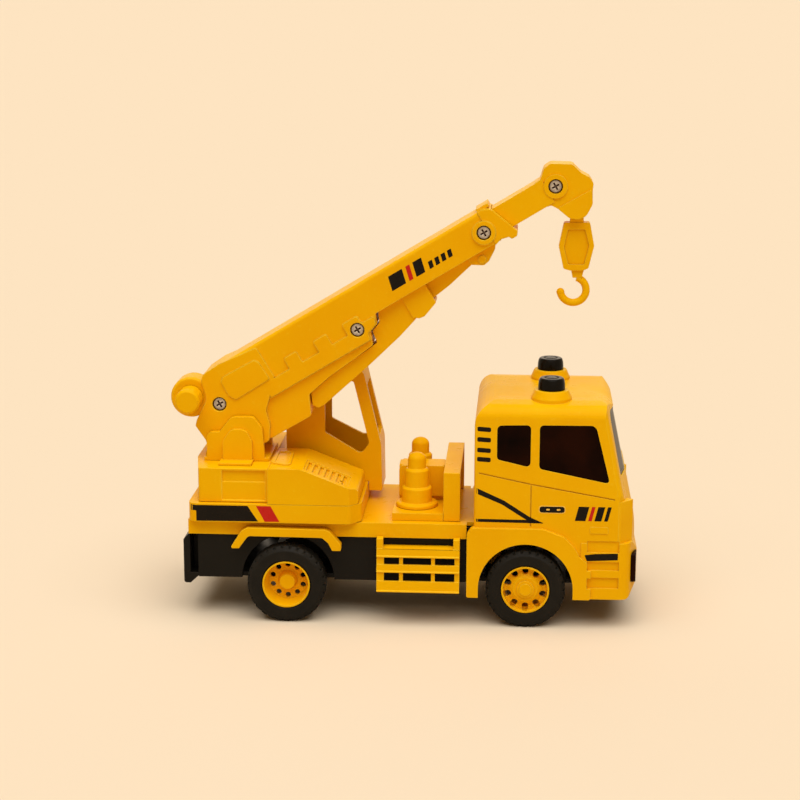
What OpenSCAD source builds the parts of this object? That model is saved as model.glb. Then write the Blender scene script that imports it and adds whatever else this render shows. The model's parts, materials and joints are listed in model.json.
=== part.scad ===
// Toy truck crane: lorry, slewing house, luffing box boom with telescopic jib and hook.
// Frame: +X is the truck's front, +Y its left side, +Z up. The floor is at z = 0.
// Inside the modules x = 0 is the rear axle; the nodes are then centred on their common box.

/* [Wheels] */
// Diameter of the tyres
tyre_d = 35; // [30:0.5:36]
// Width of one tyre
tyre_w = 10; // [9:0.5:10.5]
// Width over the tyres
track_w = 78; // [76:1:82]
// Distance between the axles
wheelbase = 105.7; // [104:0.1:107]
// Diameter of the rim, inside the tyre
rim_d = 21.2; // [19:0.2:24]
// Diameter of the axles
axle_d = 2.5; // [2:0.1:3]
// Number of round holes in a rear hub and of notches in a front hub
hub_holes = 10; // [6:1:12]
// Number of lugs around a tyre
tyre_lugs = 30; // [20:2:36]

/* [Friction motor] */
// Module of the gears
gear_m = 0.5; // [0.45:0.05:0.5]
// Teeth of the drive gear on the rear axle
drive_teeth = 24; // [22:1:25]
// Teeth of the idler's large gear
idler_teeth = 22; // [20:1:22]
// Teeth of both pinions
pinion_teeth = 10; // [9:1:11]
// Radius of the flywheel
fly_r = 6.6; // [5:0.1:6.8]
// Wall of the motor case
case_t = 1.2; // [0.8:0.1:1.4]

/* [Chassis and deck] */
// How far the tray's sides stand inside the tyres' outer faces
tray_inset = 8; // [7:0.5:9]
// Ground clearance under the tray
tray_z = 17.9; // [17:0.1:19]
// Thickness of the chassis floor and walls
tray_t = 1.8; // [1.4:0.1:2.2]
// Height of the deck's top above the floor
deck_z = 45; // [44.5:0.1:46]
// Thickness of the deck
deck_t = 1.8; // [1.4:0.1:2.2]
// How far the deck's sides stand inside the tyres' outer faces
deck_inset = 6; // [5.5:0.1:6.2]
// Height of the deck's side skirt
deck_skirt = 6.6; // [5:0.1:7]
// Deck end behind the rear axle
deck_back = 44.2; // [43:0.1:46]
// Deck end ahead of the rear axle
deck_front = 79.5; // [78.5:0.1:80.5]
// Height of the rear bumper's foot above the floor
bumper_z = 14.9; // [12:0.1:17]
// Thickness of the rear bumper
bumper_t = 2.9; // [2:0.1:4]

/* [Deck equipment] */
// Height of the headboard above the deck
headboard_h = 22.2; // [12:0.2:30]
// Thickness of the headboard
headboard_t = 7.4; // [5:0.1:8]
// Width of the headboard and of the pump base
headboard_w = 57; // [50:0.5:60]
// Height of the pump base
pump_base_h = 3.3; // [2.4:0.1:4]
// Height of a tank above the pump base
tank_h = 24.5; // [20:0.5:30]
// Radius of a tank's drum
tank_r = 6.75; // [5.5:0.05:7]
// Distance between the two tanks' axes
tank_gap = 28.4; // [27.6:0.1:34]
// Height of the valve block above the pump base
block_h = 16.2; // [8:0.2:20]

/* [Truck cab] */
// Width of the cab
cab_w = 74; // [73:0.5:76]
// Length of the cab's body
cab_l = 71.3; // [70.6:0.1:72]
// Height of the roof above the floor
roof_z = 100.2; // [98:0.1:103]
// Wall of the cab
cab_t = 2; // [1.4:0.1:2.2]
// How far the wheel arches stand proud of the cab's side
fender_proud = 2; // [1:0.1:2.5]
// Height of the bonnet edge under the windscreen
belt_z = 58.5; // [57:0.1:60]
// Height of the windscreen's foot above the floor
screen_z = 67.2; // [66:0.1:69]
// Thickness of the window insert
glass_t = 1.3; // [0.8:0.1:1.6]
// Distance of a beacon from the truck's centre line
beacon_y = 22.3; // [18:0.1:24]
// Radius of a beacon dome
beacon_r = 5.9; // [4.5:0.1:6.5]
// Height of a beacon dome
beacon_h = 5.2; // [4:0.1:7]

/* [Slewing house] */
// Distance of the slewing axis behind the rear axle
slew_back = 6.5; // [6:0.1:8]
// Width of the slewing platform
plat_w = 75; // [72:0.5:75]
// Height of the slewing platform
plat_h = 8.3; // [7:0.1:9]
// Gap between the deck and the platform
plat_gap = 0.35; // [0.25:0.05:0.5]
// Width of the machinery house
house_w = 70; // [66:0.5:71]
// Height of the house above the platform
house_h = 15.4; // [14:0.1:16]
// Wall of the house, the hood and the operator cab
house_t = 1.8; // [1.2:0.1:2]
// Radius of the king-post in the deck
king_r = 9; // [7:0.5:10]
// Width of the operator cab
opcab_w = 21.5; // [17:0.5:24]
// Height of the operator cab above the platform
opcab_h = 54; // [52:0.5:58]

/* [Boom] */
// Angle of the boom above the horizontal at rest
boom_angle = 31.2; // [28:0.1:34]
// Offset of the boom's centre plane to the right of the truck's
boom_side = 7; // [6:0.1:8]
// Width of the boom box
boom_w = 20.8; // [20.4:0.1:21.2]
// How far the heel plates and the side strips stand proud of the box
strip_proud = 0.8; // [0.4:0.1:1]
// Wall of the boom shells
boom_t = 1.8; // [1.4:0.1:2]
// Travel of the telescopic jib
jib_travel = 40; // [20:1:42]
// Width of the jib
jib_w = 15; // [13:0.2:15.4]
// Radius of the boom's pivot pin
pivot_r = 2; // [1.4:0.1:2.4]
// Radius of a screw's shank
screw_r = 1.1; // [0.9:0.05:1.2]
// Radius of a screw's head
head_r = 2.7; // [2.2:0.1:2.8]
// Radius of the winch knob
knob_r = 5.6; // [4:0.1:6.4]
// How far the winch knob stands out from the boom's tail
knob_out = 10; // [5:0.1:11]

/* [Hook] */
// Radius of the hook's bar
hook_bar = 1.65; // [1.2:0.05:1.9]
// Mean radius of the hook's bow
hook_bow = 5.65; // [5:0.05:7]
// Thickness of the hook block
hook_t = 5.6; // [4:0.2:7]
// Radius of the pin that the hook hangs on
hook_pin_r = 1.2; // [0.9:0.1:1.5]

/* [Fits] */
// Radial clearance of a shaft or pin in a bore that turns on it
run_fit = 0.08; // [0.04:0.01:0.1]
// Radial clearance of a pin or screw in the piece that holds it
hold_fit = 0.03; // [0.02:0.01:0.05]
// Gap between faces of pieces that move past each other
slide_gap = 0.35; // [0.3:0.05:0.4]
// Gap between faces of pieces that are fixed to each other
seat_gap = 0.1; // [0.06:0.01:0.15]

/* [Hidden] */
$fn = 48;
yellow = [0.95, 0.66, 0.05];
black = [0.09, 0.09, 0.09];
smoke = [0.16, 0.08, 0.05];
steel = [0.72, 0.72, 0.74];
eps = 0.02;
far = 300;

// Wheels and axles
wheel_r = tyre_d / 2;
rim_r = rim_d / 2;
axle_r = axle_d / 2;
tyre_out = track_w / 2;
tyre_in = tyre_out - tyre_w;
well_r = wheel_r + 3.2;
hub_r = rim_r - seat_gap / 2;
hub_wall = 1.2;

// Chassis and deck
tray_y = tyre_out - tray_inset;
tray_top = deck_z - deck_t - seat_gap;
tray_back = 40.3;
tray_front = deck_front + cab_l - 6;
floor_top = tray_z + tray_t;
boss_h = 4.1;
boss_top = tray_z + boss_h;
deck_y = tyre_out - deck_inset;
skirt_z = deck_z - deck_skirt;
deck_posts = [[-32, 20], [34, 20], [66, 20]];
post_r = 3.2;

// Truck cab
cab_x = deck_front + 3.2;
cab_y = cab_w / 2;
nose_x = cab_x + cab_l;
bumper_x = nose_x + 1;
bumper_top = 38.9;
cab_foot = 13.4;
arch_r = wheel_r + 3.3;
beacon_x = cab_x + 33.1;
pod_z = roof_z + 4.2;
door_x = cab_x + 24.6;
cab_posts = [[cab_x + 9.3, 14], [cab_x + 45.3, 14]];

// Slewing house
slew_x = -slew_back;
plat_z = deck_z + plat_gap;
plat_top = plat_z + plat_h;
plat_y = plat_w / 2;
house_z = plat_top + seat_gap;
house_top = house_z + house_h;
house_front = slew_x - 1.6;
hood_back = house_front + seat_gap;
hood_front = slew_x + 38.3;
opcab_y = boom_w / 2 + strip_proud - boom_side + 1.3;

// Boom, in its own frame: s along the boom, t upward, both from the pivot
boom_y = -boom_side;
pivot = [slew_x - 16.5, house_top + 8.3];
box_half = boom_w / 2;
strip_half = box_half + strip_proud;
box_low = 18.4;
box_high = 33.9;
box_end = 146.6;
box_edge = 1.6;
cavity_low = box_low + boom_t;
cavity_high = box_high - boom_t;
jib_half = jib_w / 2;
jib_low = cavity_low + slide_gap;
jib_high = cavity_high - slide_gap;
mouth_s = 150;
jib_tail = mouth_s - jib_travel - 22;
tail = [-8.5, 27.8];
tail_r = 9.1;
tail_boss_r = 6.2;
tail_half = box_half - 0.4;
heel_screw = [1.3, 18.8];
belly_screw = [72, 16.3];
neck_screw = [141.7, 25];
head_screw = [178.3, 26.2];
head_half = 7;
hook_at = [181, 12.2];
ram_eye = [134.8, 14.9];

// The common box runs from the boom's tail to the front bumper.
tail_x = pivot.x + tail.x * cos(boom_angle) - tail.y * sin(boom_angle) - tail_r;
centre_x = (bumper_x + tail_x) / 2;

// ---- Outlines ----------------------------------------------------------------
// A corner is [x, y, r]: its place and the radius that rounds it.
function at(p) = [p[0], p[1]];
function unit(v) = v / norm(v);
function arc_steps(r) = r < 1.5 ? 3 : r < 4 ? 5 : 8;
function arc(a, b, c, r) =
    let (u = unit(a - b), w = unit(c - b), half = acos(u * w) / 2)
    let (reach = min(r / tan(half), 0.49 * norm(a - b), 0.49 * norm(c - b)))
    let (rad = reach * tan(half), mid = b + unit(u + w) * rad / sin(half))
    let (p = b + u * reach - mid, q = b + w * reach - mid)
    let (from = atan2(p.y, p.x), turn = (atan2(q.y, q.x) - from + 540) % 360 - 180, n = arc_steps(r))
    [for (i = [0:n]) mid + rad * [cos(from + turn * i / n), sin(from + turn * i / n)]];
function rounded(list) =
    let (n = len(list))
    [for (i = [0:n - 1])
        let (a = at(list[(i + n - 1) % n]), b = at(list[i]), c = at(list[(i + 1) % n]))
        each list[i][2] > 0 ? arc(a, b, c, list[i][2]) : [b]];

// The same corners moved inward by d; the list runs anticlockwise.
function left_normal(p, q) = [p.y - q.y, q.x - p.x] / norm(q - p);
function inset(list, d) =
    let (n = len(list))
    [for (i = [0:n - 1])
        let (a = at(list[(i + n - 1) % n]), b = at(list[i]), c = at(list[(i + 1) % n]))
        let (m = left_normal(a, b), k = left_normal(b, c), v = b + (m + k) * d / (1 + m * k))
        let (turn = (b - a).x * (c - b).y - (b - a).y * (c - b).x)
        [v.x, v.y, list[i][2] == 0 ? 0 : max(list[i][2] + (turn > 0 ? -d : d), 0.4)]];

// ---- Helpers ------------------------------------------------------------------
module side_prism(corners, y0, y1) {
    translate([0, y1, 0]) rotate([90, 0, 0]) linear_extrude(y1 - y0) polygon(rounded(corners));
}
module front_prism(corners, x0, x1) {
    translate([x0, 0, 0]) rotate([90, 0, 90]) linear_extrude(x1 - x0) polygon(rounded(corners));
}
module plan_prism(corners, z0, z1) {
    translate([0, 0, z0]) linear_extrude(z1 - z0) polygon(rounded(corners));
}
module block(low, high) {
    translate(low) cube(high - low);
}
module bar_y(x, z, r, y0, y1) {
    translate([x, y1, z]) rotate([90, 0, 0]) cylinder(r = r, h = y1 - y0);
}
module bar_z(x, y, r, z0, z1) {
    translate([x, y, z0]) cylinder(r = r, h = z1 - z0);
}
module both_sides() {
    children();
    mirror([0, 1, 0]) children();
}
module placed() {
    translate([-centre_x, 0, 0]) children();
}
module on_boom() {
    placed() translate([pivot.x, boom_y, pivot.y]) rotate([0, -boom_angle, 0]) children();
}
// Cross-head screw standing on z = 0 with its head down and its shank up.
head_h = 1.7;
module screw(length) {
    difference() {
        cylinder(r = head_r, h = head_h);
        for (a = [0, 90]) rotate([0, 0, a]) translate([-head_r * 0.62, -0.35, -eps])
            cube([head_r * 1.24, 0.7, 1]);
    }
    translate([0, 0, head_h - eps]) cylinder(r = screw_r, h = length + eps);
}

// ---- Wheels --------------------------------------------------------------------
// A wheel lies along its own axis: z = 0 is the inner face, z = tyre_w the outer one.
module wheel_at(x, side) {
    placed() translate([x, side * tyre_in, wheel_r]) rotate([side * -90, 0, 0]) children();
}
module tyre() {
    shoulder = 2.2;
    lip = 0.7;
    profile = [[rim_r, lip], [rim_r + lip, 0], [wheel_r - shoulder, 0], [wheel_r, shoulder * 0.7],
        [wheel_r, tyre_w - shoulder * 0.7], [wheel_r - shoulder, tyre_w], [rim_r + lip, tyre_w],
        [rim_r, tyre_w - lip]];
    color(black) difference() {
        rotate_extrude() polygon(profile);
        for (i = [0:tyre_lugs - 1], z = [-eps, tyre_w - 2.4])
            rotate([0, 0, 90 + (i + 0.5) * 360 / tyre_lugs])
                translate([wheel_r - 1, -0.5, z]) cube([2, 1, 2.4 + eps]);
    }
}
// The rear hubs are deep dishes with a short boss; the front hubs stand out in steps.
rear_boss = 6;
module rear_hub() {
    dish = 2.4;
    floor_t = 1.5;
    floor_r = hub_r - 2.2;
    color(yellow) difference() {
        union() {
            difference() {
                cylinder(r = hub_r, h = tyre_w);
                translate([0, 0, dish]) cylinder(r1 = floor_r, r2 = hub_r - 0.7, h = tyre_w - dish + eps);
                translate([0, 0, -eps]) cylinder(r = floor_r, h = dish - floor_t);
            }
            translate([0, 0, dish - floor_t]) cylinder(r1 = 4.9, r2 = 3.3, h = rear_boss - dish + floor_t);
        }
        translate([0, 0, -eps]) cylinder(r = axle_r + hold_fit, h = rear_boss - 1.2);
        for (i = [0:hub_holes - 1]) rotate([0, 0, (i + 0.5) * 360 / hub_holes])
            translate([0.67 * hub_r, 0, -eps]) cylinder(r = 1.2, h = dish + 1);
    }
}
module front_hub() {
    face = tyre_w - 3.2;
    cap = tyre_w - 0.5;
    slot_r = 1.35;
    color(yellow) difference() {
        union() {
            difference() {
                cylinder(r = hub_r, h = tyre_w);
                translate([0, 0, face]) cylinder(r = hub_r - 0.8, h = tyre_w);
                translate([0, 0, -eps]) cylinder(r = hub_r - hub_wall, h = face - 1.5);
            }
            cylinder(r = 3.8, h = cap);
            cylinder(r = 2.7, h = tyre_w);
            translate([0, 0, face - eps]) cylinder(r1 = 8.1, r2 = 5.2, h = 1.7);
        }
        translate([0, 0, -eps]) cylinder(r = axle_r + hold_fit, h = tyre_w - 2.8);
        for (i = [0:hub_holes - 1]) rotate([0, 0, (i + 0.5) * 360 / hub_holes]) {
            for (k = [0.74, 0.86]) translate([k * hub_r, 0, face - 2]) cylinder(r = slot_r, h = 5);
            translate([0.74 * hub_r, -slot_r, face - 2]) cube([0.12 * hub_r, 2 * slot_r, 5]);
        }
    }
}
module axle(x, deep) {
    end = tyre_out - deep;
    color(steel) placed() bar_y(x, wheel_r, axle_r, -end, end);
}
module front_axle() axle(wheelbase, 3.2);
module rear_axle() axle(0, tyre_w - rear_boss + 1.6);
module front_hub_right() wheel_at(wheelbase, -1) front_hub();
module front_hub_left() wheel_at(wheelbase, 1) front_hub();
module front_tyre_right() wheel_at(wheelbase, -1) tyre();
module front_tyre_left() wheel_at(wheelbase, 1) tyre();
module rear_hub_right() wheel_at(0, -1) rear_hub();
module rear_hub_left() wheel_at(0, 1) rear_hub();
module rear_tyre_right() wheel_at(0, -1) tyre();
module rear_tyre_left() wheel_at(0, 1) tyre();

// ---- Friction motor ---------------------------------------------------------------
// Stub involute gears: pressure angle 25 degrees, addendum 0.8 m, dedendum 1.05 m.
gear_angle = 25;
backlash = 0.12;
pin_r = 0.9;
shaft_r = 0.8;
mesh_angle = 35;
idler_reach = gear_m * (drive_teeth + pinion_teeth) / 2;
fly_reach = gear_m * (idler_teeth + pinion_teeth) / 2;
idler_x = idler_reach * cos(mesh_angle);
idler_z = wheel_r + idler_reach * sin(mesh_angle);
fly_x = idler_x + fly_reach * cos(mesh_angle);
fly_z = idler_z + fly_reach * sin(mesh_angle);
case_y = 9;
drive_y = [-6.2, -2.4];
idler_y = [-1.3, 2.5];
disc_y = [3.5, 7.1];
case_in = case_y - case_t;
tip_gap = 1;
drive_tip = gear_m * (drive_teeth / 2 + 0.8);
function involute(a) = tan(a) * 180 / PI - a;
function half_tooth(r, teeth) =
    let (pitch = gear_m * teeth / 2, base = pitch * cos(gear_angle))
    let (a = r > base ? acos(base / r) : 0)
    90 / teeth - backlash / 2 / pitch * 180 / PI + involute(gear_angle) - involute(a);
function gear_outline(teeth) =
    let (pitch = gear_m * teeth / 2, root = pitch - 1.05 * gear_m, tip = pitch + 0.8 * gear_m)
    let (rise = [for (k = [0:4]) root + (tip - root) * k / 4])
    [for (i = [0:teeth - 1], k = [0:9])
        let (up = k < 5, r = rise[up ? k : 9 - k], a = 360 * i / teeth + (up ? -1 : 1) * half_tooth(r,
            teeth))
        r * [cos(a), sin(a)]];
// A gear whose axis lies along y, turned about it by an angle, measured from +x towards +z.
module gear(x, z, teeth, turn, y, bore) {
    translate([x, y[1], z]) rotate([90, 0, 0]) difference() {
        rotate([0, 0, turn]) linear_extrude(y[1] - y[0]) polygon(gear_outline(teeth));
        translate([0, 0, -eps]) cylinder(r = bore, h = y[1] - y[0] + 2 * eps);
    }
}
// A tooth of each driving gear points along the line of centres, and a gap meets it.
function gap_at(teeth) = mesh_angle + 180 + 180 / teeth;
module drive_gear() {
    color("white") placed()
        gear(0, wheel_r, drive_teeth, mesh_angle, drive_y, axle_r + hold_fit);
}
module idler_gear() {
    bore = pin_r + run_fit;
    color("white") placed() {
        gear(idler_x, idler_z, pinion_teeth, gap_at(pinion_teeth), [drive_y[0] - 0.3, idler_y[0] + eps],
            bore);
        gear(idler_x, idler_z, idler_teeth, mesh_angle, idler_y, bore);
    }
}
module idler_pin() {
    end = case_y - 0.4;
    color(steel) placed() bar_y(idler_x, idler_z, pin_r, -end, end);
}
module flywheel() {
    color(steel) placed() difference() {
        bar_y(fly_x, fly_z, fly_r, disc_y[0], disc_y[1]);
        bar_y(fly_x, fly_z, shaft_r + hold_fit, disc_y[0] - 1, disc_y[1] + 1);
    }
}
module flywheel_pinion() {
    end = case_y - 0.4;
    color("white") placed() union() {
        gear(fly_x, fly_z, pinion_teeth, gap_at(pinion_teeth), [idler_y[0] - 0.3, disc_y[0] - seat_gap],
            shaft_r - 0.1);
        bar_y(fly_x, fly_z, shaft_r, -end, end);
    }
}
case_corners = let (low = wheel_r - drive_tip - tip_gap - case_t, back = -drive_tip - tip_gap - case_t)
    let (front = fly_x + fly_r + 0.8 + case_t, top = fly_z + fly_r + 0.8 + case_t)
    [[back, low, 2], [9, low, 2], [front, 19, 2], [front, top, 2], [7, top, 2], [back, 25.6, 2]];
module motor_case(side) {
    ear = [3, 15];
    seam = seat_gap / 2;
    ear_z = floor_top + seat_gap;
    color(black) placed() difference() {
        union() {
            difference() {
                side_prism(case_corners, side > 0 ? seam : -case_y, side > 0 ? case_y : -seam);
                side_prism(inset(case_corners, case_t), side > 0 ? -1 : -case_in, side > 0 ? case_in : 1);
            }
            block([ear[0], side > 0 ? case_in + 0.4 : -case_y - 5, ear_z],
                [ear[1], side > 0 ? case_y + 5 : -case_in - 0.4, ear_z + 1.8]);
        }
        bar_y(0, wheel_r, axle_r + run_fit, -case_y - 1, case_y + 1);
        bar_y(idler_x, idler_z, pin_r + hold_fit, -case_y - 1, case_y + 1);
        bar_y(fly_x, fly_z, shaft_r + run_fit, -case_y - 1, case_y + 1);
        bar_z(9, side * (case_y + 2.9), screw_r + hold_fit, 0, 60);
    }
}
module motor_case_right() motor_case(-1);
module motor_case_left() motor_case(1);

// ---- Chassis ------------------------------------------------------------------------
peg_r = 1.2;
step_pegs = [deck_front - 33.5, deck_front - 8.5];
step_peg_z = skirt_z - 5;
guard_pegs = [-11, 11];
guard_peg_z = skirt_z + 2.3;
module wheel_well(x) {
    both_sides() bar_y(x, wheel_r, well_r, tyre_in - 0.6, tyre_out + 5);
}
module saddle(x) {
    both_sides() block([x - 5, tyre_in - 8.5, wheel_r - 5.5], [x + 5, tyre_in - 2.3, wheel_r + 7]);
}
module chassis_tray() {
    web = 1.6;
    color(black) placed() difference() {
        union() {
            difference() {
                union() {
                    difference() {
                        block([-tray_back, -tray_y, tray_z], [tray_front, tray_y, tray_top]);
                        block([tray_t - tray_back, tray_t - tray_y, floor_top],
                            [tray_front - tray_t, tray_y - tray_t, far]);
                    }
                    rear_bumper(web);
                }
                wheel_well(0);
                wheel_well(wheelbase);
                for (x = [0, wheelbase]) block([x - 2.4, -tray_y, tray_z - 1],
                    [x + 2.4, tray_y, floor_top + 1]);
                block([case_corners[0][0] - 0.5, -case_y - 0.5, tray_z - 1],
                    [case_corners[3][0] + 0.5, case_y + 0.5, floor_top + 1]);
            }
            saddle(0);
            saddle(wheelbase);
            for (p = deck_posts, s = [-1, 1]) bar_z(p[0], s * p[1], post_r + 1, tray_z, boss_top);
            for (p = cab_posts, s = [-1, 1]) bar_z(p[0], s * p[1], post_r + 1, tray_z, boss_top);
        }
        for (p = deck_posts, s = [-1, 1]) screw_hole(p[0], s * p[1]);
        for (p = cab_posts, s = [-1, 1]) screw_hole(p[0], s * p[1]);
        for (s = [-1, 1]) bar_z(9, s * (case_y + 2.9), screw_r + hold_fit, 0, 60);
        for (x = [0, wheelbase]) bar_y(x, wheel_r, axle_r + run_fit, -tyre_out, tyre_out);
        for (x = step_pegs) bar_y(x, step_peg_z, peg_r + hold_fit, -tyre_out, tyre_out);
    }
}
module screw_hole(x, y) {
    bar_z(x, y, head_r + 0.2, 0, tray_z + head_h + 0.1);
    bar_z(x, y, screw_r + hold_fit, 0, 60);
}
module rear_bumper(web) {
    back = -deck_back - bumper_t + 0.2;
    front = -deck_back + 0.2;
    top = skirt_z - 0.2;
    plate = [[back, bumper_z, 1], [front, bumper_z, 0], [-tray_back + 0.2, tray_z + 0.6, 0],
        [-tray_back + 0.2, floor_top, 0], [front, floor_top, 0], [front, top, 0.4], [back, top - 3, 1]];
    side_prism(plate, -tray_y, tray_y);
    for (y = [-tray_y * 0.6, 0, tray_y * 0.6])
        block([front - 0.5, y - web, floor_top - 0.5], [0.2 - tray_back, y + web, top - 3]);
}
module chassis_screws() {
    color(steel) placed() {
        for (p = deck_posts, s = [-1, 1]) translate([p[0], s * p[1], tray_z + 0.1]) screw(12);
        for (p = cab_posts, s = [-1, 1]) translate([p[0], s * p[1], tray_z + 0.1]) screw(12);
        for (s = [-1, 1]) translate([9, s * (case_y + 2.9), floor_top + 1.8 + 2 * seat_gap + head_h])
            mirror([0, 0, 1]) screw(3.6);
    }
}

// ---- Deck and what it carries -----------------------------------------------------------
tank_x = deck_front - 23;
base_x = [deck_front - 33.3, deck_front - 10.6];
board_x = base_x[1] + seat_gap;
base_top = deck_z + seat_gap + pump_base_h;
// A lip of the deck runs on to the truck cab's rear wall.
module deck() {
    lip_y = tray_y - 2.6;
    color(yellow) placed() difference() {
        union() {
            difference() {
                block([-deck_back, -deck_y, skirt_z], [deck_front, deck_y, deck_z]);
                block([-deck_back + deck_t, -tray_y - seat_gap, skirt_z - 1],
                    [deck_front + 1, tray_y + seat_gap, deck_z - deck_t]);
            }
            block([deck_front - 1, -lip_y, deck_z - deck_t], [cab_x - seat_gap, lip_y, deck_z]);
            bar_z(slew_x, 0, king_r + 3, deck_z - 5.4, deck_z);
            for (p = deck_posts, s = [-1, 1]) bar_z(p[0], s * p[1], post_r, boss_top + seat_gap, deck_z);
        }
        bar_z(slew_x, 0, king_r + run_fit, 0, far);
        for (p = deck_posts, s = [-1, 1]) bar_z(p[0], s * p[1], screw_r + hold_fit, 0, boss_top + 13);
        for (x = guard_pegs) bar_y(x, guard_peg_z, peg_r + hold_fit, -far, far);
        for (s = [-1, 1]) bar_z(tank_x, s * tank_gap / 2, peg_r + hold_fit, deck_z - 4, far);
        for (s = [-1, 1]) bar_z(board_x + headboard_t / 2, s * 18, peg_r + hold_fit, deck_z - 4, far);
    }
}
module rear_mudguard(side) {
    inner = deck_y + seat_gap;
    outer = tyre_out - 1.5;
    top = deck_z - 2.1;
    arch = [[-21, top - 9.6, 0.4], [-16.9, top - 3.9, 2], [15.9, top - 4.1, 1.5], [18.6, top - 6.4, 1.5],
        [20.4, top - 9.9, 0.4], [24.3, top - 9.9, 0.6], [24.3, top - 7.2, 1.5], [19.5, top - 1.3, 1.5],
        [17.3, top - 0.3, 2], [-17.3, top, 1.5], [-20, top - 1.7, 1.5], [-25, top - 9.7, 0.6]];
    color(yellow) placed() {
        side_prism(arch, side > 0 ? inner : -outer, side > 0 ? outer : -inner);
        for (x = guard_pegs) bar_y(x, guard_peg_z, peg_r, side > 0 ? inner - 2 : -inner - eps,
            side > 0 ? inner + eps : -inner + 2);
    }
}
module rear_mudguard_right() rear_mudguard(-1);
module rear_mudguard_left() rear_mudguard(1);

// A step guard: a tread that stands off the tray, and a slatted panel that hangs from it.
module side_step(side) {
    x0 = deck_front - 39.4;
    x1 = deck_front - 2.8;
    y_out = tyre_out - 1;
    top = skirt_z - 3.7;
    panel_t = 1.5;
    flare = 5;
    slats = [[0, 3.8], [7, 10.6], [14.4, 19.4]];
    stiles = [[0, 3.3], [10, 11.7], [24.1, 25.8], [x1 - x0 - 2.2, x1 - x0]];
    color(yellow) placed() mirror([0, side > 0 ? 0 : 1, 0]) {
        block([x0, tray_y + seat_gap, top - 1.3], [x1, y_out, top]);
        translate([0, y_out, top]) rotate([flare, 0, 0]) {
            for (s = slats) {
                block([x0, -panel_t, -s[1]], [x1, 0, -s[0]]);
                block([x0, -panel_t, -s[1]], [x1, 0.5, -s[1] + 0.7]);
            }
            for (s = stiles) block([x0 + s[0], -panel_t - 0.3, -slats[2][1]], [x0 + s[1], -0.4, 0]);
        }
        for (x = [x0, x1 - 2.8]) block([x, deck_y + seat_gap, top - 1],
            [x + 2.8, y_out - 0.2, skirt_z + 0.8]);
        for (x = step_pegs) {
            bar_y(x, step_peg_z, peg_r, tray_y - tray_t, tray_y + 0.8);
            block([x - 2, tray_y + seat_gap, step_peg_z - 2], [x + 2, tray_y + 1.8, top]);
        }
    }
}
module side_step_right() side_step(-1);
module side_step_left() side_step(1);

module pump_base() {
    low = deck_z + seat_gap;
    color(yellow) placed() difference() {
        union() {
            block([base_x[0], -headboard_w / 2, low], [base_x[1], headboard_w / 2, base_top]);
            block([base_x[0] + 1.8, -4.5, low], [base_x[1] - 0.2, 4.5, base_top + block_h]);
            side_prism([[base_x[0] + 1.8, base_top + 2.2, 0], [base_x[1] - 0.2, base_top + 2.2, 0],
                [base_x[1] - 0.2, base_top + block_h, 1], [base_x[0] + 1.8, base_top + block_h, 2]],
                    -6.5, 6.5);
        }
        for (s = [-1, 1]) bar_z(tank_x, s * tank_gap / 2, peg_r + hold_fit, 0, far);
    }
}
// A stepped accumulator with a domed cap and a peg through the pump base into the deck.
module tank(side) {
    z0 = base_top + seat_gap;
    top_r = 0.6 * tank_r;
    mid_r = 0.8 * tank_r;
    foot = 1.8;
    dome = 3.2;
    rise = [foot, 0.36 * tank_h, 0.7 * tank_h, tank_h - dome];
    profile = concat([[0, -pump_base_h - 2.4], [peg_r, -pump_base_h - 2.4], [peg_r, 0], [tank_r + 2.6, 0],
        [tank_r + 2.6, foot - 0.5], [tank_r + 2.1, foot], [tank_r, foot + 0.2], [tank_r, rise[1] - 0.6],
        [tank_r - 0.6, rise[1]], [mid_r, rise[1] + 0.1], [mid_r, rise[2] - 0.8], [mid_r - 0.8, rise[2]],
        [top_r, rise[2] + 0.1]],
        [for (a = [0:15:90]) [top_r * cos(a), rise[3] + dome * sin(a)]]);
    color(yellow) placed() translate([tank_x, side * tank_gap / 2, z0]) rotate_extrude() polygon(profile);
}
module tank_right() tank(-1);
module tank_left() tank(1);
module headboard() {
    x0 = board_x;
    x1 = x0 + headboard_t;
    z0 = deck_z + seat_gap;
    y = headboard_w / 2;
    z1 = deck_z + headboard_h;
    color(yellow) placed() {
        difference() {
            block([x0, -y, z0], [x1, y, z1]);
            block([x0 + 1.6, 1.6 - y, z0 - 1], [x1 + 1, y - 1.6, z1 - 1.6]);
        }
        for (s = [-1, 1]) bar_z(x0 + headboard_t / 2, s * 18, 2.4, z0, z1 - 0.5);
        for (s = [-1, 1]) bar_z(x0 + headboard_t / 2, s * 18, peg_r, z0 - 2, z0 + 1);
    }
}

// ---- Truck cab -----------------------------------------------------------------------------
// The cab is where three outlines and a leaning one for the windscreen's corners meet.
function cab_side(foot) = [[cab_x, foot, 0.6], [nose_x, foot, 0.6], [nose_x, bumper_top, 6],
    [nose_x - 0.7, 48.7, 10], [nose_x - 1.9, 56, 8], [nose_x - 3.2, 62.5, 4],
    [nose_x - 4.3, screen_z, 3], [nose_x - 11.2, roof_z, 7.5], [cab_x, roof_z, 9.5]];
function cab_front(foot) = [[-cab_y, foot, 0], [cab_y, foot, 0], [cab_y, belt_z, 20],
    [cab_y - 0.9, roof_z - 1.2, 6], [cab_y - 12, roof_z, 20], [12 - cab_y, roof_z, 20],
    [0.9 - cab_y, roof_z - 1.2, 6], [-cab_y, belt_z, 20]];
cab_plan = [[cab_x, -cab_y, 1.8], [nose_x - 8.2, -cab_y, 2], [nose_x - 2.4, 7.5 - cab_y, 5],
    [nose_x, -0.45 * cab_y, 30], [nose_x, 0.45 * cab_y, 30], [nose_x - 2.4, cab_y - 7.5, 5],
    [nose_x - 8.2, cab_y, 2], [cab_x, cab_y, 1.8]];
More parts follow.
